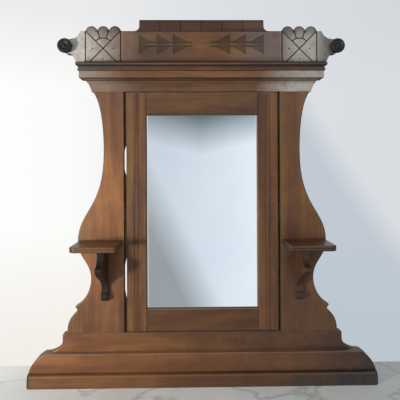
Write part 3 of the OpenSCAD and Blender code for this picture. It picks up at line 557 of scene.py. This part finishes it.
def rail_wear(middles):
    """Lower rail: round shoulders past the side boards' feet, and a tight joint under them."""
    shoulder = (np.abs(middles[:, 0]) > foot_edge + MM) & (middles[:, 2] > base_top)
    joint = middles[:, 2] > rail_top - hair
    return np.select([shoulder & on_front(middles), joint], [5.0, 0.4], 1.0)


# %% Worn copies of the wooden pieces
cornice_moulding = ["bed_mould_front", "left_bed_mould_return", "right_bed_mould_return"]
cornice_boards = ["fascia_front", "left_fascia_end", "right_fascia_end"]
wood_copies = [
    (walnut_left, board_wear, ["left_side_board"]),
    (walnut_right, board_wear, ["right_side_board"]),
    (walnut_rail, rail_wear, ["lower_rail"]),
    (walnut_top_rail, even(1.0), ["top_rail"]),
    (walnut_cornice, even(0.4), cornice_moulding),
    (walnut_cornice, even(0.8), cornice_boards),
    (walnut_cap, cap_wear, ["cornice_cap"]),
    (walnut_block, even(0.9), ["crest_block"]),
    (walnut_left_bracket_painted_shade, even(1.5), ["left_bracket"]),
    (walnut_right_bracket, even(1.5), ["right_bracket"]),
    (walnut_stiles, even(0.4), ["left_stile", "right_stile"]),
    (walnut_frame_top, even(0.5), ["top_frame_rail"]),
    (walnut_frame_foot, even(0.5), ["bottom_frame_rail"]),
]
for material, wear, nodes in wood_copies:
    for node in nodes:
        dress(soften(merged_copy(node, node + "_worn"), wear), node, material)
print("worn copies:", sum(len(nodes) for _, _, nodes in wood_copies))

# %% [markdown]
# ## Surfaces from arrays
# The crest, the knobs, the shelves and the glass have forms that a bevel can't give: carving,
# turning, and an edge that changes as it goes round. Each is a grid of points worked out by a
# formula in two parameters. The grid may close on itself, as the skin of a ring does, and points
# that fall together at a pole are merged.

# %% Grid to mesh
def skin(name, points, closed=False, capped=False, sharp=180):
    """A mesh from an array of points in millimetres, rows by columns by XYZ.

    closed joins the last column to the first. capped fills the first and the last row with one
    face each. Edges that turn by more than sharp degrees stay crisp.
    """
    rows, columns = points.shape[:2]
    index = np.arange(rows * columns).reshape(rows, columns)
    caps = [index[0].tolist(), index[-1].tolist()] if capped else []
    if closed:
        index = np.concatenate([index, index[:, :1]], axis=1)
    quads = np.stack([index[:-1, :-1], index[:-1, 1:], index[1:, 1:], index[1:, :-1]], -1)
    mesh = bpy.data.meshes.new(name)
    mesh.from_pydata(points.reshape(-1, 3) * MM, [], quads.reshape(-1, 4).tolist() + caps)
    shape = bmesh.new()
    shape.from_mesh(mesh)
    bmesh.ops.remove_doubles(shape, verts=shape.verts, dist=0.002 * MM)
    bmesh.ops.recalc_face_normals(shape, faces=shape.faces)
    shape.to_mesh(mesh)
    shape.free()
    mesh.shade_smooth()
    mesh.set_sharp_from_angle(angle=math.radians(sharp))
    return add_object(name, mesh)


def node_box(node):
    """A node's lowest and highest corner in millimetres, as arrays."""
    return [np.array(corner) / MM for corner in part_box(node)]


# %% [markdown]
# ## The base
# The base board and the plinth in front of it have the same ogee ends as the lower rail: a
# quarter circle, a cove and a small round shoulder. Going up, the end only ever draws in, so it
# is X as a function of Z. Rings of this outline stand behind each other and make the skin. The
# rings near the front are drawn in, along the outline's normal at the ends and straight down at
# the top, so the front edges are rounded. The plinth's rounding is its moulding, and it returns
# along the ends.

# %% Outline of the base
rail_high = node_box("lower_rail")[1]
end_radius, end_rise, end_turn = 91, 15, 94
cove_rise = 33
shoulder_radius = 8
shoulder_reach = 15
base_x = rail_high[0]
rail_x = foot_edge / MM + shoulder_reach
print("base reaches X:", round(base_x, 1), "mm, its shoulder", round(rail_x, 1), "mm")


def rise(x, middle, radius):
    """Height at x of a circle over its middle, and zero beside it."""
    return np.sqrt(np.maximum(radius ** 2 - (x - middle) ** 2, 0))


def ogee_end(z):
    """X of the base's end at a height: quarter circle, elliptic cove, upright, quarter circle."""
    circle = base_x - end_radius + rise(z, end_rise, end_radius)
    turn_x = base_x - end_radius + math.sqrt(end_radius ** 2 - (end_turn - end_rise) ** 2)
    cove_z = end_turn + cove_rise
    cove = turn_x - (turn_x - rail_x) / cove_rise * rise(z, cove_z, cove_rise)
    corner_z = rail_high[2] - shoulder_radius
    corner = rail_x - shoulder_radius + rise(z, corner_z, shoulder_radius)
    bands = [z < end_rise, z < end_turn, z < cove_z, z < corner_z]
    return np.select(bands, [base_x + 0 * z, circle, cove, rail_x + 0 * z], corner)


# %% Base board and plinth
def base_piece(name, node, top_worn, end_worn, round_depth):
    """Rings of the ogee outline, cut off at the node's top, from its front to its back.

    Over the depth of the rounding, a quarter turn t takes the wear from all to none: its share
    is 1 - sin t, at a depth of 1 - cos t. A point further in at the foot and the top keeps the
    long straight edges apart from the end's curve.
    """
    low_corner, high_corner = node_box(node)
    z = np.linspace(0, high_corner[2], 60)
    x = ogee_end(z)
    slope = np.gradient(x, z)
    outward = np.stack([np.ones_like(z), -slope], -1) / np.sqrt(1 + slope ** 2)[:, None]
    rounding = [(1 - math.sin(turn), round_depth * (1 - math.cos(turn)))
                for turn in np.radians([0, 22.5, 45, 67.5, 90])]
    further_in = (25, 0)
    rings = []
    for share, deep in [*rounding, (0, high_corner[1] - low_corner[1])]:
        end = np.stack([x, z], -1) - share * end_worn * outward
        end[:, 1] = np.clip(end[:, 1], 0, high_corner[2] - share * top_worn)
        half = np.concatenate([end[:1] - further_in, end, end[-1:] - further_in])
        ring = np.concatenate([half, half[::-1] * (-1, 1)])
        rings.append(np.insert(ring, 1, low_corner[1] + deep, axis=1))
    return skin(name, np.array(rings), closed=True, capped=True, sharp=35)


base_board = base_piece("worn_base_board", "base_board", 2.4, 5.0, round_depth=3.5)
dress(keep_flat(base_board), "base_board", walnut_base)
plinth = base_piece("worn_plinth", "plinth_moulding", 8.0, 12.0, round_depth=17)
dress(keep_flat(plinth), "plinth_moulding", walnut_plinth)
print("plinth faces:", len(plinth.data.polygons))

# %% [markdown]
# ## The crest
# The crest is one board with an ear at each end, a fan of three lobes beside each ear, and a
# spray of three arrow-shaped leaves on each side of the middle. Its top and bottom edges are two
# functions of X, so every point of its front is a share of the way from bottom to top. Both are
# even in X, so one side is worked out and the other follows from the distance to the middle.

# %% Outline of the crest
crest_low, crest_high = node_box("crest_board")
crest_foot = crest_low[2]
board_top = node_box("crest_block")[0][2]
ear_radius, ear_rise, ear_run = 22.5, 55.5, 20
ear_x = crest_high[0] - ear_radius
ear_z = crest_foot + ear_rise
ear_foot_x = ear_x - ear_run
scoop_radius = 35.2
scoop_z = ear_z + ear_radius + scoop_radius
scoop_x = ear_x - math.sqrt(scoop_radius ** 2 - (board_top - scoop_z) ** 2)
fan_half, fan_gap = 52.8, 28
fan_x = ear_foot_x - fan_gap - fan_half
fan_z = board_top - fan_half
lobe_radius, lobe_drop = 18.5, 3
lobe_pitch = 2 * fan_half / 3
lobe_z = board_top - lobe_drop
lobe_middles = [fan_x - lobe_pitch, fan_x, fan_x + lobe_pitch]
print("fan's middle at X:", round(fan_x, 1), "mm, ear's at", round(ear_x, 1), "mm")


def crest_top(x):
    """Top edge: level, over three lobes, then a scoop down to the ear's round end."""
    lobes = [lobe_z + rise(x, middle, lobe_radius) for middle in lobe_middles]
    level = np.maximum.reduce([np.full_like(x, board_top), *lobes])
    scoop = scoop_z - rise(x, ear_x, scoop_radius)
    ear = ear_z + rise(x, ear_x, ear_radius)
    return np.select([x < scoop_x, x < ear_x], [level, scoop], ear)


def crest_bottom(x):
    """Bottom edge: level as far as the ear's foot, a cubic curve out of it, then the round end."""
    t = np.linspace(0, 1, 40)[:, None]
    pull = np.array([(ear_foot_x, crest_foot), (ear_foot_x + 2, crest_foot + 14),
                     (ear_x - 10, ear_z - ear_radius - 1), (ear_x, ear_z - ear_radius)])
    curve = ((1 - t) ** 3 * pull[0] + 3 * (1 - t) ** 2 * t * pull[1]
             + 3 * (1 - t) * t ** 2 * pull[2] + t ** 3 * pull[3])
    foot = np.interp(x, curve[:, 0], curve[:, 1])
    ear = ear_z - rise(x, ear_x, ear_radius)
    return np.select([x < ear_foot_x, x < ear_x], [np.full_like(x, crest_foot), foot], ear)


# %% [markdown]
# ## Carving
# A carver's V tool leaves a groove whose depth falls off with the distance from its line. So the
# carving is a function too: the depth at a point comes from the distance to the nearest line.
# The lobes are also pared back towards their tips, and each leaf is a shallow hollow with a
# steep side at its tail. The same distances darken the cuts, where polish and dirt have settled.
# Three strips are dark as well: each has a start or a width, a fade, and a darkness from 0 to 1.
# Two of them are painted shade: the petals towards their tips, and the strip just above the cap.

# %% Depth of the carving
block_foot = 205
groove_half, groove_depth = 1.6, 2.0
leaf_depth, leaf_shallow = 1.2, 0.35
lobe_flat, lobe_depth = 11, 3.0
fan_arc = 31.5
dot_radius = 2.2
spray_z = crest_foot + 62
spray_half = 28
stem_half = 5.5
leaves = [(150, 188), (95, 134), (43, 85)]
stem_early, barb_late, barb_inside = 14, 12, 8
fan_dark, spray_dark, leaf_dark, darkest = 2.2, 0.9, 0.58, 0.97
# The petals' and the cap strip's darkness is painted shade.
petal_start, petal_fade, petal_shade = 24, 60, 0.5
block_strip, block_fade, block_dark = 3, 2, 0.9
cap_strip, cap_fade, cap_shade = 12, 4, 0.8
print("leaves on each side:", len(leaves), "grooves", 2 * groove_half, "mm wide")


def from_line(x, z, start, end):
    """Distance of each point from the straight line between two points."""
    run = np.subtract(end, start)
    along = np.clip(((x - start[0]) * run[0] + (z - start[1]) * run[1]) / (run @ run), 0, 1)
    return np.hypot(x - start[0] - along * run[0], z - start[1] - along * run[1])


def from_fan(x, z):
    """Distance from a fan's lines: two uprights, a cross, an arc over its centre, two ribs."""
    down = fan_z - crest_foot
    valley_rise = math.sqrt(lobe_radius ** 2 - lobe_pitch ** 2 / 4)
    valley = np.array([lobe_pitch / 2, lobe_z - fan_z + valley_rise])
    rib_foot = valley * fan_arc / np.hypot(*valley)
    near = []
    for s in (-1, 1):
        edge = fan_x + s * fan_half
        near.append(from_line(x, z, (edge, crest_foot - 5), (edge, board_top)))
        near.append(from_line(x, z, (fan_x - s * down, crest_foot), (edge, board_top)))
        near.append(from_line(x, z, (fan_x + s * rib_foot[0], fan_z + rib_foot[1]),
                              (fan_x + s * valley[0], fan_z + valley[1] + 3)))
    turn = np.degrees(np.arctan2(z - fan_z, x - fan_x))
    out_of_reach = np.where(np.abs(turn - 90) > 45, 99, 0)
    arc = np.abs(np.hypot(x - fan_x, z - fan_z) - fan_arc) + out_of_reach
    dots = [np.hypot(x - fan_x - right, z - fan_z - up) - dot_radius + groove_half
            for right, up in ((-fan_arc, 0), (fan_arc, 0), (0, -fan_arc))]
    return np.maximum(np.minimum.reduce([*near, arc, *dots]), 0)


def from_spray(x, z):
    """Distance from a spray's lines: per leaf two barbs, two stem lines and the tail."""
    near = []
    for point, tail in leaves:
        for s in (-1, 1):
            stem, tip = spray_z + s * stem_half, spray_z + s * spray_half
            near.append(from_line(x, z, (point, stem), (tail, tip)))
            near.append(from_line(x, z, (point + barb_late, stem), (tail, tip - s * barb_inside)))
            near.append(from_line(x, z, (point - stem_early, stem), (tail, stem)))
            near.append(from_line(x, z, (tail, stem), (tail, tip)))
    return np.minimum.reduce(near)


def from_leaves(x, z):
    """How deep a point lies in a leaf: 0 outside, and inside it rises to 1 at the leaf's tail."""
    deep = np.zeros_like(x)
    for point, tail in leaves:
        share = (x - point) / (tail - point)
        half = stem_half + (spray_half - stem_half) * share
        inside = (share > 0) & (share < 1) & (np.abs(z - spray_z) < half)
        deep = np.maximum(deep, np.where(inside, leaf_shallow + (1 - leaf_shallow) * share, 0))
    return deep


def from_lobes(x, z):
    """How far a lobe is pared back at a point: 0 on its flat, 1 on its rim."""
    pared = np.zeros_like(x)
    for middle in lobe_middles:
        out = np.hypot(x - middle, z - lobe_z)
        share = np.clip((out - lobe_flat) / (lobe_radius - lobe_flat), 0, 1)
        inside = (z > lobe_z) & (out < lobe_radius + 0.1)
        pared = np.maximum(pared, np.where(inside, share, 0))
    return pared


def carving(x, z):
    """Depth of the carving in millimetres, and how dark the point is, 0 to 1.

    Dark are the grooves, the leaves and the top edge beside the block's foot. The petals
    towards their tips and the last strip above the cap are painted shade.
    """
    fan_vee = np.clip(1 - from_fan(x, z) / groove_half, 0, 1)
    spray_vee = np.clip(1 - from_spray(x, z) / groove_half, 0, 1)
    leaf, lobe = from_leaves(x, z), from_lobes(x, z)
    groove = groove_depth * np.maximum(fan_vee, spray_vee)
    depth = np.maximum(groove, leaf_depth * leaf) + lobe_depth * lobe
    petal = (z - fan_z > np.abs(x - fan_x)) & (np.hypot(x - fan_x, z - fan_z) > fan_arc)
    # Painted shade on the petals, darker towards their tips.
    petal_painted_shade = petal * np.clip((z - fan_z - petal_start) / petal_fade, 0, petal_shade)
    from_top = (z - crest_top(x) + block_strip) / block_fade
    under_block = (x < block_foot) * np.clip(from_top, 0, block_dark)
    # Painted shade in the strip just above the cap.
    painted_shade_above_cap = np.clip((crest_foot + cap_strip - z) / cap_fade, 0, cap_shade)
    shaded = [fan_dark * fan_vee, spray_dark * spray_vee, leaf_dark * leaf,
              petal_painted_shade, under_block, painted_shade_above_cap]
    return depth, np.clip(np.maximum.reduce(shaded), 0, darkest)


# %% [markdown]
# ### The skin of the crest
# Columns stand closer where the carving is fine: from each stop on, they have its spacing. At
# each column a ring of points goes up the front, over the rounded top edge, down the back and
# round the bottom edge, so the rings make one closed skin.

# %% Crest board
def steps(start, end, size):
    """Even steps of about a size from start up to, but without, end."""
    return np.linspace(start, end, max(2, round((end - start) / size)), endpoint=False)


fan_start, fan_end = fan_x - fan_half, fan_x + fan_half
crest_stops = [(0, 2.4), (leaves[2][0], 1.5), (leaves[0][1] + 4, 3.0), (fan_start - 3, 0.7),
               (fan_start, 0.76), (fan_x - lobe_pitch / 2, 0.76), (fan_x, 0.76),
               (fan_x + lobe_pitch / 2, 0.76), (fan_end, 0.7), (fan_end + 3, 2.4),
               (scoop_x, 1.4), (ear_foot_x, 0.5), (ear_foot_x + 3, 1.7), (ear_x, None)]
crest_parts = [steps(start, end, size)
               for (start, size), (end, _) in zip(crest_stops, crest_stops[1:])]
ear_turn = np.linspace(0, math.pi / 2, 16)
half_x = np.concatenate([*crest_parts, ear_x + ear_radius * np.sin(ear_turn)])
crest_x = np.concatenate([-half_x[:0:-1], half_x])[:, None]
low, high = crest_bottom(np.abs(crest_x)), crest_top(np.abs(crest_x))
edge_wear, front_rows = 1.2, 112
worn = np.minimum(edge_wear, (high - low) * 0.45)
front_z = low + worn + np.linspace(0, 1, front_rows) * (high - low - 2 * worn)
depth, _ = carving(np.broadcast_to(np.abs(crest_x), front_z.shape), front_z)

quarter = np.radians([30, 60, 90])
y_front, y_back = crest_low[1], crest_high[1]
top_y, foot_y = y_front + depth[:, -1:], y_front + depth[:, :1]
ring_y = np.concatenate([
    y_front + depth, top_y + worn * (1 - np.cos(quarter)),
    y_back - worn + worn * np.sin(quarter - quarter[0]), y_back + 0 * worn,
    y_back + 0 * worn, y_back - worn + worn * np.cos(quarter),
    foot_y + worn * (1 - np.sin(quarter - quarter[0]))], axis=1)
ring_z = np.concatenate([
    front_z, high - worn + worn * np.sin(quarter),
    high - worn + worn * np.cos(quarter - quarter[0]), high - worn,
    low + worn, low + worn - worn * np.sin(quarter),
    low + worn - worn * np.cos(quarter - quarter[0])], axis=1)
crest_points = np.stack([np.broadcast_to(crest_x, ring_y.shape), ring_y, ring_z], -1)
crest = skin("carved_crest", crest_points, closed=True)
print("crest faces:", len(crest.data.polygons))

# %% [markdown]
# Merging the doubles renumbers the points, so the darkness of a cut, and the crest's painted
# shade, is worked out from where each point lies once the mesh is made. The material reads it
# as the attribute cut.

# %% Darkness of the cuts
def mark_cuts(piece):
    """Keeps the carving's darkness and its painted shade on each point of the front as the
    attribute cut.
    """
    mesh = piece.data
    flat = np.empty(len(mesh.vertices) * 3)
    mesh.vertices.foreach_get("co", flat)
    x, y, z = flat.reshape(-1, 3).T / MM
    shade = carving(np.abs(x), z)[1] * (y < y_back - 2)
    mesh.attributes.new("cut", "FLOAT", "POINT").data.foreach_set("value", shade)
    print("dark points:", np.count_nonzero(shade), "of", len(shade))


mark_cuts(crest)
dress(keep_flat(crest), "crest_board", walnut_crest)

# %% [markdown]
# ## Turned knobs
# A knob is turned on a lathe, so its surface is a profile carried round an axis: one parameter
# runs along the profile and the other is the angle. The profile goes from the middle of the face
# over a small boss, a dished face, a lip, a bead and a waist, to the peg in the ear. Cutting the
# corners of the profile twice gives it the softness of a turning tool.

# %% Knobs
knob_profile = np.array([
    (0, 0.6), (2.6, 0.9), (4.4, 2.4), (5.2, 4.8), (6.2, 5.4), (8.6, 5.2), (11.6, 4.0), (13.6, 2.4),
    (15.0, 0.9), (16.4, 0.8), (17.1, 2.4), (17.9, 2.2), (19.4, 2.6), (20.9, 4.4), (21.8, 7.4),
    (21.7, 10.6), (20.2, 12.8), (18.9, 13.6), (18.7, 14.8), (19.9, 16.0), (20.3, 18.4),
    (19.6, 21.4), (17.6, 24.2), (16.8, 27.0), (5.0, 27.0), (5.0, 40.0), (0, 40.0)])


def cut_corners(points, rounds):
    """Each round replaces every straight run by its middle half, and the ends stay."""
    for _ in range(rounds):
        near, far = points[:-1], points[1:]
        cut = np.stack([0.75 * near + 0.25 * far, 0.25 * near + 0.75 * far], axis=1).reshape(-1, 2)
        points = np.concatenate([points[:1], cut, points[-1:]])
    return points


def turned_knob(name, node):
    """Profile (r, d) carried round: X = r cos a and Z = r sin a from the centre, Y = d inwards."""
    low_corner, high_corner = node_box(node)
    centre = (low_corner + high_corner) / 2
    scale = (high_corner[0] - low_corner[0]) / 2 / knob_profile[:, 0].max()
    profile = cut_corners(knob_profile, 2)
    angle = np.radians(np.arange(0, 360, 5))
    out = profile[:, 0, None] * scale
    x, z = centre[0] + out * np.cos(angle), centre[2] + out * np.sin(angle)
    y = np.broadcast_to(low_corner[1] + profile[:, 1, None], x.shape)
    return skin(name, np.stack([x, y, z], -1), closed=True)


for side in ("left", "right"):
    knob = turned_knob(side + "_turned_knob", side + "_knob")
    dress(keep_flat(knob), side + "_knob", black_knob)
print("knob faces:", len(knob.data.polygons))

# %% [markdown]
# ## Candle shelves
# A shelf's edge is moulded on its front and both ends, and it dies into the board at the back.
# The plan is a rectangle with one tight and one generous corner. The moulding is a list of
# (set-back, height) pairs, and each pair gives the whole plan drawn in by that set-back.

# %% Moulded shelves
shelf_moulding = [(3.4, 0), (1.2, 1.0), (0.2, 3.2), (0.3, 5.2), (1.5, 6.6), (2.4, 7.0), (2.4, 8.2),
                  (0.6, 9.0), (0.0, 11.2), (0.5, 13.6), (2.0, 15.3), (4.6, 16)]
inner_corner, outer_corner = 6, 18


def shelf_plan(width, run, set_back):
    """Plan of a shelf from its inner to its outer end, drawn in by a set-back.

    Two quarter circles joined by straight lines: the radii shrink with the set-back.
    """
    quarter_turn = np.radians(np.linspace(0, 90, 9))
    near, far = max(inner_corner - set_back, 0.5), max(outer_corner - set_back, 0.5)
    inner = np.stack([set_back + near - near * np.cos(quarter_turn),
                      run - set_back - near + near * np.sin(quarter_turn)], -1)
    outer = np.stack([width - set_back - far + far * np.sin(quarter_turn),
                      run - set_back - far + far * np.cos(quarter_turn)], -1)
    return np.concatenate([[(set_back, 0.0)], inner, outer, [(width - set_back, 0.0)]])


def moulded_shelf(name, node):
    """Rows are the moulding's pairs, and columns go round the plan."""
    low_corner, high_corner = node_box(node)
    width, run, _ = high_corner - low_corner
    s = 1 if low_corner[0] > 0 else -1
    inner_end = low_corner[0] if s > 0 else high_corner[0]
    plans = np.array([shelf_plan(width, run, set_back) for set_back, _ in shelf_moulding])
    heights = np.array([height for _, height in shelf_moulding])[:, None] + low_corner[2]
    points = np.stack([inner_end + s * plans[..., 0], high_corner[1] - plans[..., 1],
                       np.broadcast_to(heights, plans.shape[:2])], -1)
    return skin(name, points, closed=True, capped=True, sharp=50)


for side in ("left", "right"):
    shelf = moulded_shelf(side + "_moulded_shelf", side + "_shelf")
    dress(keep_flat(shelf), side + "_shelf", walnut_shelf)
print("shelf faces:", len(shelf.data.polygons))

# %% [markdown]
# ## The bevelled plate
# Old plate glass has a ground bevel. Tilted by a few degrees, it shows another part of the room,
# so it makes a bright line inside the frame. The plate is a set of rectangles, each drawn in from
# the edge: the back, the thin edge, the start of the bevel and its end.

# %% Glass with a ground bevel
plate_low, plate_high = node_box("mirror_plate")
bevel_width, bevel_fall = 12.5, 0.9
plate_rings = [(0, plate_high[1]), (0, plate_low[1] + bevel_fall), (bevel_width, plate_low[1])]


def plate_ring(drawn_in, y):
    """The plate's outline drawn in by a distance, at a depth."""
    x0, x1 = plate_low[0] + drawn_in, plate_high[0] - drawn_in
    z0, z1 = plate_low[2] + drawn_in, plate_high[2] - drawn_in
    return [(x0, y, z0), (x1, y, z0), (x1, y, z1), (x0, y, z1)]


plate_points = np.array([plate_ring(*ring) for ring in plate_rings])
plate = skin("bevelled_plate", plate_points, closed=True, capped=True, sharp=1)
dress(plate, "mirror_plate", mirror_glass)
print("plate faces:", len(plate.data.polygons))

# %% [markdown]
# ## CAD pieces that keep their shape
# Screws, pivots, battens and the back panel are right as they are. They only get their finish.

# %% Finishes on CAD nodes
cad_finishes = [
    (bare_pine, ["left_batten", "right_batten", "back_panel", "plate_blocks"]),
    (dark_iron, ["left_pivot_socket", "right_pivot_socket", "left_pivot_pin",
                 "right_pivot_pin"]),
    (screw_steel, ["batten_screws", "base_screws", "shelf_screws", "bracket_screws",
                   "socket_screws", "pin_screws", "panel_nails"]),
]
for material, nodes in cad_finishes:
    for node in nodes:
        for slot in frame["nodes"][node].material_slots:
            slot.material = material
print("finished CAD nodes:", sum(len(nodes) for _, nodes in cad_finishes))

# %% [markdown]
# ## Stage and light
# The photograph shows a slab of marble against a white wall, with daylight from the left. The
# slab's veins are a thin band on each side of a noise's middle value. Its colour goes cooler and
# darker to the right, and a faint glow of window light lies on it, most at the left: both are
# painted light. It ends just behind the mirror, where the wall begins. It is hidden from glossy
# rays, so that the glass shows the room and not the slab.

# %% Slab of marble
def marble(name):
    """Pale stone, cooler to the right as painted light, with grey clouds and thin veins."""
    material, shader, coordinates = new_material(name)
    place = coordinates["Object"]
    spot = split(place)
    # Painted light: the stone goes cooler and darker to the right.
    stone = mix(spread(spot["X"], -0.5, 0.5), linear(238, 240, 238), linear(219, 227, 229))
    clouds = noise(place, 3.2, 7.0, Distortion=0.5)
    clouded = mix(spread(clouds, 0.3, 0.62, 0.35, 0.0), stone, linear(176, 180, 182))
    from_middle = combine("ABSOLUTE", combine("SUBTRACT", clouds, 0.5))
    vein = spread(from_middle, 0.0, 0.022, 0.52, 0.0)
    # A faint painted glow of window light, most at the left and towards the back.
    painted_window_glow = times(spread(spot["X"], -0.25, -0.7, 0.1, 0.38),
                 spread(spot["Y"], -0.35, 0.1, 0.4, 1.0))
    fill(shader, {"Base Color": mix(vein, clouded, linear(118, 123, 126)),
                  "Emission Color": linear(255, 252, 246), "Emission Strength": painted_window_glow,
                  "Roughness": 0.6})
    return material


slab_half, slab_front, slab_back = 2200, -1600, 118
floor_x, floor_y = np.meshgrid([-slab_half, slab_half], [slab_front, slab_back])
floor = skin("floor", np.stack([floor_x, floor_y, 0 * floor_x], -1))
floor.data.materials.append(marble("pale_stone"))
floor.visible_glossy = False
print("slab:", 2 * slab_half, "mm wide, ends", slab_back, "mm behind the boards' middle")

# %% [markdown]
# ### The wall
# The world's own colour stands for the wall. A ray's direction says where it meets the wall.
# The wall's light is painted into that colour: it goes from white to grey across its middle,
# its top and its foot, and a soft slanted painted shadow of the mirror lies at the far right.

# %% World as the wall
world = bpy.data.worlds.new("studio")
bpy.context.scene.world = world
world.use_nodes = True
tree = world.node_tree
direction = split(add_node("TexCoord", {}, tree).outputs["Generated"])

across_wall = spread(direction["X"], -0.45, 0.45)
# Painted light on the wall: white at the left, greyer to the right, at its top and at its foot.
wall_middle = ramp(across_wall, [(0.0, (1, 1, 1, 1)), (0.22, linear(252, 252, 250)),
                                 (0.55, linear(222, 225, 229)), (1.0, linear(216, 220, 225))])
wall_top = ramp(across_wall, [(0.0, linear(236, 237, 237)), (0.3, linear(234, 235, 236)),
                              (0.55, linear(221, 224, 228)), (1.0, linear(210, 214, 219))])
wall_foot = ramp(across_wall, [(0.0, linear(241, 237, 232)), (0.3, linear(245, 239, 232)),
                               (0.7, linear(186, 196, 201)), (1.0, linear(188, 198, 203))])
wall = mix(spread(direction["Z"], 0.16, 0.31), wall_middle, wall_top)
wall = mix(spread(direction["Z"], -0.12, -0.34), wall, wall_foot)
# A painted shadow of the mirror, slanted, at the far right.
slant = combine("ADD", direction["X"], times(direction["Z"], 0.6))
painted_shadow = times(spread(slant, 0.335, 0.275), spread(direction["X"], 0.19, 0.23, 0.0, 0.85))
wall = mix(painted_shadow, wall, linear(188, 198, 207))
print("wall nodes:", len(tree.nodes))

# %% [markdown]
# ### The room in the glass
# The glass is seen by reflection, so what glossy rays find in the world matters as much as the
# wall does: a pale room, a darker ceiling that reaches lowest in the middle, a grey wall low on
# the left and bright windows at both sides. Behind the mirror they find the wall, and something
# dark low down. All other rays find an even, dim fill, so the object has the lamps' light and
# soft shadows, however bright the wall is.

# %% World as the room
across_room = spread(direction["X"], -0.05, 0.14)
pale_room = mix(across_room, linear(214, 223, 232), linear(235, 244, 252))
off_middle = combine("ABSOLUTE", combine("SUBTRACT", direction["X"], 0.02))
height = combine("SUBTRACT", direction["Z"], times(off_middle, 0.25))
ceiling = mix(spread(height, 0.025, 0.105), pale_room, linear(110, 122, 127))
low_left = combine("ADD", times(direction["X"], 0.894), times(direction["Z"], 0.448))
grey_share = spread(low_left, -0.139, -0.069, 1.0, 0.0)
grey_wall = mix(grey_share, ceiling, linear(160, 165, 168))
sideways = combine("ABSOLUTE", direction["X"])
windows = mix(spread(sideways, 0.19, 0.23), grey_wall, linear(248, 244, 240))
behind = mix(spread(direction["Z"], 0.04, 0.12), linear(50, 46, 44), wall)
room = mix(spread(direction["Y"], -0.2, 0.1), windows, behind)

light_path = add_node("LightPath", {}, tree).outputs
soft_fill = (0.165, 0.17, 0.175, 1)
unseen = mix(light_path["Is Glossy Ray"], soft_fill, room)
shown = mix(light_path["Is Camera Ray"], unseen, wall)
fill(tree.nodes["Background"], {"Color": shown})
print("world nodes:", len(tree.nodes))

# %% [markdown]
# ### Lamps
# Three lamps light the mirror. The key is small and stands far to the left at the height of the
# shelves, so it slants across the boards, and the left shelf and bracket throw their shadows to
# the right, onto the frame. The other two are broad and stand where the ends of the crest
# reflect them to the camera. That gives the pale sheen there, and they fill the shadows.

# %% Lamps
def area_lamp(name, place, target, size, power, colour):
    """A square lamp that faces a point."""
    data = bpy.data.lights.new(name, "AREA")
    data.shape = "SQUARE"
    data.size = size
    data.energy = power
    data.color = colour
    lamp = add_object(name, data)
    lamp.location = place
    lamp.rotation_euler = (Vector(target) - Vector(place)).to_track_quat("-Z", "Y").to_euler()


area_lamp("key_left", (-1.37, -1.37, 0.38), (-0.2, 0, 0.42), 0.2, 27, (1.0, 0.94, 0.85))
area_lamp("sheen_left", (-1.06, -2.2, 1.82), (-0.3, 0, 0.9), 1.2, 9, (1.0, 0.98, 0.95))
area_lamp("sheen_right", (0.92, -2.2, 1.74), (0.3, 0, 0.9), 0.9, 7, (0.92, 0.96, 1.0))
bpy.context.scene.view_settings.view_transform = "Standard"
